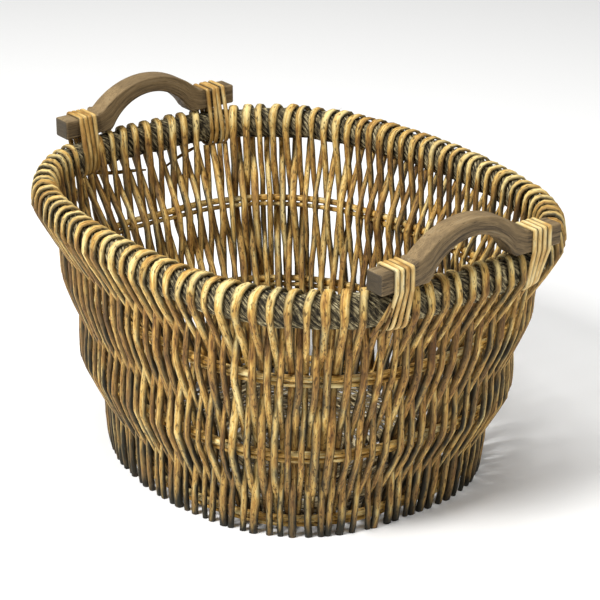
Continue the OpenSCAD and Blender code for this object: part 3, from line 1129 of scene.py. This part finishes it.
    def leg(self, rng: np.random.Generator, share: float, side: int,
            short: bool) -> np.ndarray:
        """Finds one leg's path from the ground up.

        Args:
            rng: The random source.
            share: The leg's place round the basket.
            side: 1 if it passes outside the rope, and -1 if inside.
            short: True if it stops under the rope.

        Returns:
            Points from the ground to the rope.
        """
        stops = self.stops(side, short)
        heights = np.array([s[0] for s in stops])
        top = self.plan.rope_z - self.plan.rope_h / 2 if short else heights[-1]
        z = np.linspace(0, top, int(top / self.spacing) + 1)
        shares = share + self.uneven / self.plan.cane_count * np.array([
            self.foot_uneven * rng.uniform(-1, 1), rng.uniform(-1, 1), rng.uniform(-1, 1), 0.0])
        place = np.interp(z, heights, shares)
        part = np.clip(np.searchsorted(heights, z, side="right") - 1, 0, 2)
        rest = (z - heights[part]) / (heights[part + 1] - heights[part])
        outs = np.array([s[2] for s in stops])
        straight = np.array(self.straightness)[part]
        ease = rest * straight + smooth(rest) * (1 - straight)
        out = outs[part] + (outs[part + 1] - outs[part]) * ease
        on = [s[1].at(place) for s in stops]
        centres = np.stack([c for c, _ in on])
        normals = np.stack([n for _, n in on])
        rows = np.arange(len(z))
        rest3 = rest[:, None]
        centre = centres[part, rows] * (1 - rest3) + centres[part + 1, rows] * rest3
        normal = unit(normals[part, rows] * (1 - rest3) + normals[part + 1, rows] * rest3)
        along = np.stack([-normal[:, 1], normal[:, 0], np.zeros(len(z))], -1)
        calm = np.minimum(1, np.abs(heights[-1] - z) / self.calm_run)
        swing = waves(rng, z, length=0.12, size=self.sway) * calm
        bulge = waves(rng, z, length=0.09, size=0.5 * self.sway) * calm
        points = centre + normal * (out + bulge)[:, None] + along * swing[:, None]
        points[:, 2] = z
        return points

    def loop(self, rng: np.random.Generator, outer: float, inner: float) -> np.ndarray:
        """Finds the path over the rope, from outside to inside.

        Args:
            rng: The random source.
            outer: Place of the outer leg.
            inner: Place of the inner leg.

        Returns:
            Points between the tops of the two legs.
        """
        plan = self.plan
        turn = np.linspace(0, math.pi, self.loop_steps)
        over = np.sin(turn)
        skin = (plan.cane_r * self.flatten + rng.uniform(*self.slack)
                + rng.uniform(0, self.kink, self.loop_steps) * over)
        across = (plan.rope_w / 2 + skin) * power(np.cos(turn), self.shoulder)
        up = (plan.rope_h / 2 + skin) * power(over, ROPE_SQUARE)
        slant = rng.normal(0, self.slant) / plan.cane_count
        share = outer + (inner - outer) * (1 - np.cos(turn)) / 2 + slant * over
        at, normal = plan.rope.at(share)
        points = at + normal * across[:, None]
        points[:, 2] = plan.rope_z + up
        return points

    def dress(self, rng: np.random.Generator, path: np.ndarray, size: float, tint: float,
              taper: int) -> Rod:
        """Gives a cane its thickness, buds and weathering along its path, and its painted shade
        and painted highlight.

        Args:
            rng: The random source.
            path: The cane's middle line.
            size: Half of its mean width.
            tint: Its colour.
            taper: 1 or -1 for the end that is thinner, or 0.

        Returns:
            The rod.
        """
        plan = self.plan
        run = np.r_[0, np.cumsum(np.linalg.norm(np.diff(path, axis=0), axis=1))]
        flat = path.copy()
        flat[:, 2] = 0
        outward = unit(flat * np.array([1 / plan.rope.half_l, 1 / plan.rope.half_w, 1]))
        along = np.stack([-outward[:, 1], outward[:, 0], np.zeros(len(path))], -1)
        radius = size * (1 + self.taper * taper * (run / run[-1] - 0.5) * 2
                         + buds(rng, run) + waves(rng, run, length=0.11, size=0.04))
        over = smooth((path[:, 2] - plan.rope_z - self.squash_from) / self.squash_run)
        half_t = radius * (self.leg_flatten + (self.flatten - self.leg_flatten) * over)
        half_w = radius * (1 + (self.spread - 1) * over)
        # Darker and greyer towards the ground, and darker still at the feet
        foot = 1 - smooth(path[:, 2] / self.foot_dark_height)
        lower = 1 - np.clip(path[:, 2] / (self.darker_below * plan.rope_z), 0, 1)
        age = self.age + self.lower_darkening * lower + waves(rng, run, length=0.16, size=0.24)
        shade = np.clip(age, 0, self.oldest) + self.foot_darkening * foot
        # Inner legs browner under the rim: painted shade of the rim, and partly the canes' own
        # browner colour
        under_rim = smooth((path[:, 2] - self.brown_shade_from) / self.brown_shade_run) * (1 - over)
        after_loop = np.arange(len(path)) > np.argmax(path[:, 2])
        browner = np.where(after_loop & (taper != 0), self.browner, 0.0) * under_rim
        # Painted highlight on top of each loop, where it catches the light from above
        paling = self.paling * over * smooth((path[:, 2] - plan.rope_z) / self.highlight_run)
        return Rod(path, along, half_w, half_t, tint=tint - browner + paling, shade=shade,
                   side_shade=self.side_shade, square=self.section)


@dataclass
class WovenBase:
    """The base: canes woven round and round, over and under the crossing sticks.

    Attributes:
        plan: The basket's shared sizes.
        spacing: Distance between the rings of a round's mesh.
        row: Distance from one round of weaving to the next.
        first_row: Place of the outermost round from the edge, in rows.
        fewest_rings: Fewest rings of the innermost rounds.
        wander: How far a round strays from its oval.
        skein_w: Width of a woven cane.
        skein_t: Thickness of a woven cane.
        uneven: How much the rounds differ in width, as a share.
        sunk: Room between a woven cane's middle and a stick, as a share of its thickness.
        tints: Brownest and palest tint of a woven cane.
        ages: Least and most weathering of a woven cane.
        stick_end: How far a stick stops short of the base's edge.
        short_count: Number of short sticks, which run across the basket.
        long_count: Number of long sticks.
        short_pitch: Distance between the short sticks.
        long_pitch: Distance between the long sticks.
        short_r: Half of a short stick's diameter.
        long_r: Half of a long stick's diameter.
        edge_steps: Places at which the base's edge is measured.
        near: How near a place counts as beside a stick's end.
        stick_steps: Rings of a stick's mesh.
        stick_tip: Length over which a stick's end is pointed.
        stick_point: Thickness of the point, as a share of the stick's.
        stick_bend: How far a stick strays from a straight line.
        stick_uneven: How much a stick's thickness varies, as a share.
        stick_tints: Brownest and palest tint of a stick.
        stick_age: Weathering of the sticks.
    """

    plan: Plan
    spacing: float = 3.6 * MM
    row: float = 4.3 * MM
    first_row: float = 0.55
    fewest_rings: int = 28
    wander: float = 0.35 * MM
    skein_w: float = 3.5 * MM
    skein_t: float = 1.9 * MM
    uneven: float = 0.1
    sunk: float = 0.45
    tints: tuple[float, float] = (0.15, 0.85)
    ages: tuple[float, float] = (0.1, 0.4)
    stick_end: float = 3 * MM
    short_count: int = 7
    long_count: int = 3
    short_pitch: float = 48 * MM
    long_pitch: float = 44 * MM
    short_r: float = 4 * MM
    long_r: float = 2.5 * MM
    edge_steps: int = 721
    near: float = 3 * MM
    stick_steps: int = 40
    stick_tip: float = 14 * MM
    stick_point: float = 0.45
    stick_bend: float = 0.4 * MM
    stick_uneven: float = 0.03
    stick_tints: tuple[float, float] = (0.3, 0.6)
    stick_age: float = 0.35

    def __post_init__(self) -> None:
        """Reads the base's edge and height from the frame, and places its sticks."""
        low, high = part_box("base_weave")
        self.middle = (low.z + high.z) / 2
        self.edge = self.plan.oval(high.x, high.y)
        self.short_x = spaced(self.short_count, self.short_pitch)
        self.long_y = spaced(self.long_count, self.long_pitch)

    def build(self, weave: bpy.types.Material, stick: bpy.types.Material) -> None:
        """Makes the weave and both sets of sticks.

        Args:
            weave: The finish of the woven canes.
            stick: The finish of the sticks.
        """
        self.weave(weave)
        self.sticks(stick, "base_short_sticks", self.short_x, self.short_r, True)
        self.sticks(stick, "base_long_sticks", self.long_y, self.long_r, False)

    def weave(self, material: bpy.types.Material) -> None:
        """Weaves the rounds, from the edge to the middle.

        Args:
            material: The finish of the woven canes.
        """
        rng = np.random.default_rng(SEED + 50)
        rods = RodMesh(rng)
        rounds = int((self.edge.half_w - self.row) / self.row)
        for number in range(rounds):
            inset = self.row * (number + self.first_row)
            k = (self.edge.half_w - inset) / self.edge.half_w
            oval = Oval(self.edge.half_l - inset, self.edge.half_w - inset,
                        self.edge.flat * k, self.edge.rise * k)
            rods.add(self.round(rng, oval, number))
        hand_over(rods.finish("woven_base_rounds"), material, "woven_base", "base_weave")

    def round(self, rng: np.random.Generator, oval: Oval, number: int) -> Rod:
        """Makes one round of weaving.

        Args:
            rng: The random source.
            oval: The round's middle line.
            number: Its number from the edge.

        Returns:
            The closed rod.
        """
        count = max(self.fewest_rings, int(4 * oval.quarter / self.spacing))
        share = np.linspace(0, 1, count + 1)
        at, normal = oval.at(share)
        crossings: list[tuple[float, float]] = []
        for values, axis, radius in ((self.short_x, 0, self.short_r),
                                     (self.long_y, 1, self.long_r)):
            for value in values:
                gap = at[:-1, axis] - value
                hits = np.nonzero(gap * np.roll(gap, -1) < 0)[0]
                crossings += [((h + 0.5) / count, radius) for h in hits]
        crossings.sort()
        height = np.zeros(count + 1)
        if len(crossings) > 1:
            places = np.array([c[0] for c in crossings])
            lift = np.array([(c[1] + self.sunk * self.skein_t) * (-1) ** (j + number)
                             for j, c in enumerate(crossings)])
            places = np.r_[places[-1] - 1, places, places[0] + 1]
            lift = np.r_[lift[-1], lift, lift[0]]
            part = np.clip(np.searchsorted(places, share, side="right") - 1, 0,
                           len(places) - 2)
            rest = smooth((share - places[part]) / (places[part + 1] - places[part]))
            height = lift[part] + (lift[part + 1] - lift[part]) * rest
        wander = waves(rng, share * 4 * oval.quarter, length=0.1, size=self.wander)
        wander[-1] = wander[0]
        points = at + normal * wander[:, None]
        points[:, 2] = self.middle + height
        width = np.full(count + 1, self.skein_w / 2) * (1 + self.uneven * rng.uniform(-1, 1))
        return Rod(points, normal, width, np.full(count + 1, self.skein_t / 2),
                   tint=float(rng.uniform(*self.tints)),
                   shade=np.full(count + 1, rng.uniform(*self.ages)), sides=6, closed=True)

    def sticks(self, material: bpy.types.Material, node: str, places: list[float],
               radius: float, along_y: bool) -> None:
        """Makes one set of sticks with pointed ends.

        Args:
            material: Their finish.
            node: The CAD node that they stand for.
            places: Their places across the base.
            radius: Half of their diameter.
            along_y: True if they run across the basket.
        """
        rng = np.random.default_rng(SEED + 60 + int(along_y))
        rods = RodMesh(rng)
        axis = 1 if along_y else 0
        ring, _ = self.edge.at(np.linspace(0, 1, self.edge_steps))
        for place in places:
            near = np.abs(ring[:, 1 - axis] - place) < self.near
            half = np.abs(ring[near, axis]).max() - self.stick_end
            run = np.linspace(-half, half, self.stick_steps)
            points = np.zeros((self.stick_steps, 3))
            points[:, axis] = run
            points[:, 1 - axis] = place + waves(rng, run, length=0.2, size=self.stick_bend)
            points[:, 2] = self.middle
            across = np.zeros((self.stick_steps, 3))
            across[:, 1 - axis] = 1
            full = np.clip((half - np.abs(run)) / self.stick_tip, 0, 1)
            tip = self.stick_point + (1 - self.stick_point) * full
            uneven = waves(rng, run, length=0.1, size=self.stick_uneven)
            size = radius * tip * (1 - self.stick_uneven + uneven)
            rods.add(Rod(points, across, size, size, tint=float(rng.uniform(*self.stick_tints)),
                         shade=np.full(self.stick_steps, self.stick_age), sides=10))
        hand_over(rods.finish(f"{node}_rods"), material, "base_sticks", node)


@dataclass
class BowHandle:
    """A wooden bow: square feet that lie on the rim, and an arched grip.

    Attributes:
        node: The handle's CAD node.
        bow_half: Half of the arch's length, where it meets the feet.
        grip_half: Half of the finger gap's length.
        crown_t: Thickness at the top of the arch.
        foot_t: Thickness of the feet.
        fillet: Radius of the hollow where bow meets foot.
        edge: Radius of the rounded edges.
        stations: Places along the handle at which its mesh is bent.
        hollow_share: Place of a station in the hollow, as a share of the hollow's radius.
        end_skin: How far in from the end a corner still counts as end grain.
        grain_starts: Where in the wood's pattern the front and the back bow start.
        back_wear: How much paler the back handle has worn.
        foot_wear: Wear of the feet, as a share of the bow's.
        sharp_deg: Angle above which an edge is rounded.
    """

    node: str
    bow_half: float = 70 * MM
    grip_half: float = 54 * MM
    crown_t: float = 18 * MM
    foot_t: float = 22 * MM
    fillet: float = 14 * MM
    edge: float = 2.0 * MM
    stations: int = 91
    hollow_share: float = 0.6
    end_skin: float = 0.3 * MM
    grain_starts: tuple[float, float] = (3.0, 7.0)
    back_wear: float = 0.3
    foot_wear: float = 0.4
    sharp_deg: float = 28

    def __post_init__(self) -> None:
        """Reads the bow's box from the frame."""
        self.low, self.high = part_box(self.node)
        self.crown = self.high.z - self.low.z
        self.half = self.high.y

    def build(self, material: bpy.types.Material) -> None:
        """Makes the bow.

        Args:
            material: The wood.
        """
        mesh = bmesh.new()
        bmesh.ops.create_cube(mesh, size=1.0)
        long_edges = [e for e in mesh.edges if abs(e.verts[0].co.y - e.verts[1].co.y) > 0.5]
        bmesh.ops.subdivide_edges(mesh, edges=long_edges, cuts=self.stations - 2)
        y = self.places()
        top, under = self.top(y), self.under(y)
        wide = self.high.x - self.low.x
        for v in mesh.verts:
            i = round((v.co.y + 0.5) * (self.stations - 1))
            z = top[i] if v.co.z > 0 else under[i]
            v.co = ((self.low.x + self.high.x) / 2 + v.co.x * wide, y[i], self.low.z + z)
        sharp = [e for e in mesh.edges if e.calc_face_angle(0) > math.radians(self.sharp_deg)]
        bmesh.ops.bevel(mesh, geom=sharp, offset=self.edge, offset_type="OFFSET", segments=3,
                        profile=0.5, affect="EDGES", material=-1, clamp_overlap=True)
        self.keep_grain(mesh, y, top, under)
        for face in mesh.faces:
            face.smooth = True
        piece = link_mesh(mesh, f"{self.node}_bow")
        normals = piece.modifiers.new("flat_faces", "WEIGHTED_NORMAL")
        normals.keep_sharp = True
        hand_over(piece, material, "handle_wood", self.node)

    def places(self) -> np.ndarray:
        """Finds the stations along the handle, with one at each place where it bends.

        Returns:
            Y of each station, in order.
        """
        corner = [self.bow_half + self.hollow_share * self.fillet, self.grip_half]
        even = np.linspace(-1, 1, self.stations)
        y = even * self.half
        for place in corner + [-c for c in corner]:
            y[np.abs(y - place).argmin()] = place
        return np.sort(y)

    def under(self, y: np.ndarray) -> np.ndarray:
        """Shapes the underside, with its finger gap.

        Args:
            y: Places along the handle.

        Returns:
            Heights above the feet's underside.
        """
        rise = self.crown - self.crown_t
        radius = (self.grip_half ** 2 + rise ** 2) / (2 * rise)
        inside = np.clip(radius ** 2 - y ** 2, 0, None)
        return np.clip(np.where(np.abs(y) < self.grip_half,
                                np.sqrt(inside) - radius + rise, 0), 0, None)

    def top(self, y: np.ndarray) -> np.ndarray:
        """Shapes the upper side, with a hollow where bow meets foot.

        Args:
            y: Places along the handle.

        Returns:
            Heights above the feet's underside.
        """
        rise = self.crown - self.foot_t
        radius = (self.bow_half ** 2 + rise ** 2) / (2 * rise)
        centre = self.crown - radius
        hollow_z = self.foot_t + self.fillet
        hollow_y = math.sqrt((radius + self.fillet) ** 2 - (hollow_z - centre) ** 2)
        share = radius / (radius + self.fillet)
        meet_y = hollow_y * share
        size = np.abs(y)
        bow = centre + np.sqrt(np.clip(radius ** 2 - y ** 2, 0, None))
        dip = hollow_z - np.sqrt(np.clip(self.fillet ** 2 - (size - hollow_y) ** 2, 0, None))
        return np.where(size < meet_y, bow, np.where(size < hollow_y, dip, self.foot_t))

    def keep_grain(self, mesh: bmesh.types.BMesh, y: np.ndarray, top: np.ndarray,
                   under: np.ndarray) -> None:
        """Notes where each corner was in the straight plank, and which are rubbed.

        Args:
            mesh: The bow.
            y: Places along it.
            top: Heights of its upper side there.
            under: Heights of its underside there.
        """
        straight = mesh.verts.layers.float_vector.new("straight")
        look = mesh.verts.layers.float_vector.new("look")
        middle = (top + under) / 2
        run = np.r_[0, np.cumsum(np.hypot(np.diff(y), np.diff(middle)))]
        seed = self.grain_starts[0 if self.high.x > 0 else 1]
        for v in mesh.verts:
            x, along, z = v.co
            mid = float(np.interp(along, y, middle))
            at = float(np.interp(along, y, run))
            v[straight] = (x + seed, z - self.low.z - mid + seed, at)
            ends = 1.0 if abs(along) > self.half - self.end_skin else 0.0
            high = max(0.0, min(1.0, (z - self.low.z - mid) / (self.crown_t / 2)))
            worn = high if abs(along) < self.bow_half else self.foot_wear * high
            v[look] = (ends, worn + (self.back_wear if self.high.x < 0 else 0.0), 0.0)


def taut(points: list[tuple[float, float]]) -> list[tuple[float, float]]:
    """Finds the way that a tight cane takes round a set of points.

    Args:
        points: Places that the cane goes round.

    Returns:
        The places that it touches, counter-clockwise.
    """
    ordered = sorted(set(points))
    chains: list[list[tuple[float, float]]] = []
    for run in (ordered, ordered[::-1]):
        chain: list[tuple[float, float]] = []
        for x, z in run:
            while len(chain) > 1:
                (xa, za), (xb, zb) = chain[-2], chain[-1]
                if (xb - xa) * (z - za) - (zb - za) * (x - xa) > 0:
                    break
                chain.pop()
            chain.append((x, z))
        chains.append(chain[:-1])
    return chains[0] + chains[1]


class Corner(Enum):
    """The four places where a handle's foot is lashed to the rim."""

    FRONT_LEFT = "front_left_lashing"
    FRONT_RIGHT = "front_right_lashing"
    BACK_RIGHT = "back_right_lashing"
    BACK_LEFT = "back_left_lashing"


@dataclass
class Lashing:
    """Turns of split willow that tie a handle's foot to the rope.

    Attributes:
        plan: The basket's shared sizes.
        corner: Which of the four feet it ties.
        turns: Number of turns.
        pitch: Distance from one turn to the next.
        half_w: Half of the split willow's width.
        half_t: Half of its thickness.
        foot_t: Thickness of the handle's foot.
        rope_steps: Places at which the rope's middle line is measured.
        near: How near a place counts as under a turn.
        round_steps: Places round the rope where a turn may touch it.
        corner_steps: Places round each corner of the foot.
        step: Distance between the rings of the mesh.
        wobble: How far a turn strays along the rim.
        wobble_step: How far the stray moves on from ring to ring.
        crossed: Lean of the back right turns, which cross each other.
        fan: How much more each turn leans than the one before it, at the other feet.
        steep_from: Height at which a leaning turn is in its place, as a share of the whole.
        widths: Least and most width of a turn, as a share of the mean.
        tints: Brownest and palest tint of a turn.
        age: Weathering.
        back_browner: How much browner the back lashings are.
        side_shade: Painted shade on the sides that face the next turns.
    """

    plan: Plan
    corner: Corner
    turns: int = 4
    pitch: float = 6.4 * MM
    half_w: float = 3.0 * MM
    half_t: float = 1.45 * MM
    foot_t: float = 22 * MM
    rope_steps: int = 1441
    near: float = 1.5 * MM
    round_steps: int = 33
    corner_steps: int = 4
    step: float = 6 * MM
    wobble: float = 0.25 * MM
    wobble_step: float = 5 * MM
    crossed: float = 1.8 * MM
    fan: dict[Corner, float] = field(default_factory=lambda: {
        Corner.FRONT_LEFT: 0.0, Corner.FRONT_RIGHT: 0.5 * MM, Corner.BACK_LEFT: -0.9 * MM})
    steep_from: float = 0.35
    widths: tuple[float, float] = (0.92, 1.03)
    tints: tuple[float, float] = (0.45, 0.7)
    age: float = 0.03
    back_browner: float = 0.22
    side_shade: float = 0.6

    def __post_init__(self) -> None:
        """Finds the handle whose foot it ties."""
        self.node = self.corner.value
        front = self.corner in (Corner.FRONT_LEFT, Corner.FRONT_RIGHT)
        self.handle = "front_handle" if front else "back_handle"
        self.browner = 0.0 if front else self.back_browner

    def build(self, material: bpy.types.Material) -> None:
        """Makes the turns.

        Args:
            material: The finish of the split willow.
        """
        rng = np.random.default_rng(SEED + 70 + list(Corner).index(self.corner))
        low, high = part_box(self.node)
        rods = RodMesh(rng)
        for turn in range(self.turns):
            y = (low.y + high.y) / 2 + self.pitch * (turn - (self.turns - 1) / 2)
            lean = self.lean(turn)
            rods.add(self.turn(rng, low, high, y, lean))
        hand_over(rods.finish(f"{self.node}_turns"), material, "lashing_cane", self.node)

    def lean(self, turn: int) -> float:
        """Finds how far a turn's top leans along the rim, away from its foot.

        Args:
            turn: The turn's number.

        Returns:
            The lean of the whole height, towards +Y.
        """
        if self.corner is Corner.BACK_RIGHT:
            return self.crossed if turn % 2 else -self.crossed
        return self.fan[self.corner] * (turn - (self.turns - 1) / 2)

    def turn(self, rng: np.random.Generator, low: Vector, high: Vector, y: float,
             lean: float) -> Rod:
        """Makes one closed turn round the foot and the rope.

        Args:
            rng: The random source.
            low: Lowest corner of the lashing.
            high: Highest corner of the lashing.
            y: The turn's place along the rim.
            lean: How far its top leans along the rim.

        Returns:
            The closed rod.
        """
        line = self.tight_line(low, y)
        dense: list[tuple[float, float]] = []
        for (xa, za), (xb, zb) in zip(line, line[1:] + line[:1]):
            cuts = max(1, int(math.hypot(xb - xa, zb - za) / self.step))
            dense += [(xa + (xb - xa) * i / cuts, za + (zb - za) * i / cuts)
                      for i in range(cuts)]
        dense.append(dense[0])
        floor, roof = low.z + self.half_t, high.z - self.half_t
        flat = np.array(dense)
        height = (flat[:, 1] - floor) / (roof - floor)
        run = np.arange(len(flat)) * self.wobble_step
        wobble = waves(rng, run, length=0.09, size=self.wobble)
        wobble[-1] = wobble[0]
        along = y + lean * (height - self.steep_from) + wobble
        points = np.stack([flat[:, 0], along, flat[:, 1]], -1)
        across = np.tile([0.0, 1.0, 0.0], (len(flat), 1))
        width = np.full(len(flat), self.half_w * rng.uniform(*self.widths))
        return Rod(points, across, width, np.full(len(flat), self.half_t),
                   tint=float(rng.uniform(*self.tints) - self.browner),
                   shade=np.full(len(flat), self.age), side_shade=self.side_shade, sides=10, closed=True)

    def tight_line(self, low: Vector, y: float) -> list[tuple[float, float]]:
        """Finds a turn's way round the foot and the rope, at one place along the rim.

        Args:
            low: Lowest corner of the lashing.
            y: The turn's place along the rim.

        Returns:
            X and Z of the places that it touches.
        """
        inset = self.half_t
        around = self.plan.rope_w / 2 + inset
        ring, _ = self.plan.rope.at(np.linspace(0, 1, self.rope_steps))
        near = np.abs(ring[:, 1] - y) < self.near
        middle = math.copysign(1, low.x) * np.abs(ring[near, 0]).mean()
        turn = np.linspace(0, 2 * math.pi, self.round_steps)
        rope_x = middle + around * power(np.cos(turn), ROPE_SQUARE)
        above = self.plan.rope_h / 2 + inset
        rope_z = self.plan.rope_z + above * power(np.sin(turn), ROPE_SQUARE)
        loops = list(zip(rope_x, rope_z))
        grip_low, grip_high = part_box(self.handle)
        foot_top = grip_low.z + self.foot_t
        for x, z, begin in ((grip_high.x, foot_top, 0.0),
                            (grip_low.x, foot_top, 0.5 * math.pi),
                            (grip_low.x, grip_low.z, math.pi),
                            (grip_high.x, grip_low.z, 1.5 * math.pi)):
            for angle in np.linspace(begin, begin + math.pi / 2, self.corner_steps):
                loops.append((x + inset * math.cos(angle), z + inset * math.sin(angle)))
        return taut(loops)


@dataclass(frozen=True)
class Twig:
    """A loose twig: the end of the basket it is at, its route and its width.

    Attributes:
        end: 1 for the front end, along +X, or -1 for the back.
        stops: Places on its route, in millimetres: inward from the rope's middle line,
            along the rim, and up.
        half_w: Half of its width.
    """

    end: int
    stops: tuple[tuple[float, float, float], ...]
    half_w: float


TWIGS = (
    Twig(-1, ((3, -88, 266), (9, -60, 261), (4, -36, 256), (9, -10, 254)), 2.5 * MM),
    Twig(-1, ((8, 14, 249), (4, 34, 256), (7, 52, 264), (10, 62, 268)), 2.1 * MM),
    Twig(1, ((-10, -101, 303), (-10.5, -107, 292), (-7.5, -114, 279), (-3, -120, 268)), 2.2 * MM),
    Twig(1, ((-11, -100, 296), (-10.5, -103, 286), (-8.5, -108, 275), (-5, -112, 266)), 1.9 * MM),
)


@dataclass
class LooseEnds:
    """Broken twigs caught inside the back rim, and a split cane by the front lashing.

    Attributes:
        plan: The basket's shared sizes.
        steps: Rings of a twig's mesh.
        flatten: Thickness over width.
        cut: Share of a pointed end that is broken off.
        blunt: How blunt the ends are: 0 has no point, and 1 is a long one.
        tints: Brownest and palest tint of a twig.
        age: Weathering.
        side_shade: Painted shade on a twig's narrow sides.
    """

    plan: Plan
    steps: int = 22
    flatten: float = 0.6
    cut: float = 0.04
    blunt: float = 0.4
    tints: tuple[float, float] = (0.2, 0.6)
    age: float = 0.3
    side_shade: float = 0.2

    def build(self, material: bpy.types.Material) -> None:
        """Makes the loose ends.

        Args:
            material: The canes' finish.
        """
        rng = np.random.default_rng(SEED + 90)
        twigs = RodMesh(rng)
        for twig in TWIGS:
            twigs.add(self.bent(rng, twig))
        hand_over(twigs.finish("loose_twigs"), material, "wall_willow")

    def bent(self, rng: np.random.Generator, twig: Twig) -> Rod:
        """Makes a twig along its route, thinner at its ends.

        Args:
            rng: The random source.
            twig: Its route and width.

        Returns:
            The rod.
        """
        inward, along, up = np.array(twig.stops).T * MM
        stops = np.stack([twig.end * (self.plan.rope.half_l - inward), along, up], -1)
        order = np.arange(len(stops))
        at = np.linspace(0, len(stops) - 1, self.steps)
        points = np.stack([np.polynomial.Polynomial.fit(order, stops[:, axis], 3)(at)
                           for axis in range(3)], -1)
        across = np.tile([0.0, 0.3, 1.0], (self.steps, 1))
        ends = np.sin(math.pi * np.linspace(self.cut, 1 - self.cut, self.steps)) ** self.blunt
        return Rod(points, across, twig.half_w * ends, self.flatten * twig.half_w * ends,
                   tint=float(rng.uniform(*self.tints)), shade=np.full(self.steps, self.age),
                   side_shade=self.side_shade)


# ---- The studio --------------------------------------------------------------
# Each lamp's name, place, width and power in watts
LAMPS = (("key", (0.2, -2.3, 2.5), 1.0, 120.0),
         ("overhead", (-0.2, 0.1, 2.7), 1.6, 36.0),
         ("fill", (2.6, 0.4, 1.3), 1.4, 15.0))


@dataclass
class Studio:
    """A plain pale floor, soft light and a camera with a long lens.

    Attributes:
        distance: From the basket to the camera.
        turn_deg: The camera's place round the basket, from -Y towards +X.
        lift_deg: Its height above the ground, as an angle.
        lens_mm: Its focal length.
        aim_right: How far to the right of the middle it points.
        aim_up: How far above the middle it points.
        aim_height: Height of the basket's middle.
        floor_r: Radius of the floor.
        sky: Strength of the pale sky.
    """

    distance: float = 2.5
    turn_deg: float = 53.1
    lift_deg: float = 23.1
    lens_mm: float = 135.9
    aim_right: float = 8.0 * MM
    aim_up: float = 26.6 * MM
    aim_height: float = 0.15
    floor_r: float = 14.0
    sky: float = 0.29

    def build(self) -> None:
        """Makes the floor, the lights and the camera."""
        self.floor()
        self.lights()
        self.camera()

    def floor(self) -> None:
        """Makes a wide matt floor."""
        mesh = bmesh.new()
        bmesh.ops.create_circle(mesh, cap_ends=True, segments=64, radius=self.floor_r)
        piece = link_mesh(mesh, "studio_floor")
        material, _, shader = Finish("matt_white_paper", roughness=0.95, specular=0.1).start()
        shader.inputs["Base Color"].default_value = linear("#FBFBFA")
        piece.data.materials.append(material)

    def lights(self) -> None:
        """Makes a large key light, a fill and a pale sky."""
        for name, place, size, watts in LAMPS:
            lamp = bpy.data.lights.new(name, "AREA")
            lamp.size, lamp.energy = size, watts
            holder = bpy.data.objects.new(name, lamp)
            bpy.context.scene.collection.objects.link(holder)
            holder.location = place
            aim = Vector((0, 0, self.aim_height)) - Vector(place)
            holder.rotation_euler = aim.to_track_quat("-Z", "Y").to_euler()
        world = bpy.data.worlds.new("pale_sky")
        bpy.context.scene.world = world
        world.use_nodes = True
        sky = world.node_tree.nodes["Background"]
        sky.inputs["Color"].default_value = linear("#FFFFFF")
        sky.inputs["Strength"].default_value = self.sky
        bpy.context.scene.view_settings.view_transform = "Standard"

    def camera(self) -> None:
        """Makes the camera and points it at the basket."""
        turn, lift = math.radians(self.turn_deg), math.radians(self.lift_deg)
        back = Vector((math.sin(turn) * math.cos(lift), -math.cos(turn) * math.cos(lift),
                       math.sin(lift)))
        right = Vector((math.cos(turn), math.sin(turn), 0))
        up = back.cross(right)
        target = Vector((0, 0, self.aim_height)) + right * self.aim_right + up * self.aim_up
        lens = bpy.data.cameras.new("long_lens")
        lens.lens, lens.sensor_width = self.lens_mm, 36
        holder = bpy.data.objects.new("long_lens", lens)
        bpy.context.scene.collection.objects.link(holder)
        rows = Matrix((right, up, back)).transposed().to_4x4()
        holder.matrix_world = Matrix.Translation(target + back * self.distance) @ rows
        bpy.context.scene.camera = holder


def main() -> None:
    """Builds the basket from its rim to its base, and then the studio."""
    logging.basicConfig(level=logging.INFO, format="%(message)s")
    plan = Plan()
    Studio().build()
    RimRope(plan).build(GRASS_ROPE.make())
    Hoops(plan).build(PEELED_HOOP.make())
    willow = BUFF_WILLOW.make()
    WallCanes(plan).build(willow)
    WovenBase(plan).build(BASE_SKEIN.make(), BASE_STICK.make())
    wood = BOW_WOOD.make()
    for node in ("front_handle", "back_handle"):
        BowHandle(node).build(wood)
    skein = LASHING_SKEIN.make()
    for corner in Corner:
        Lashing(plan, corner).build(skein)
    LooseEnds(plan).build(willow)


if __name__ == "__main__":
    main()
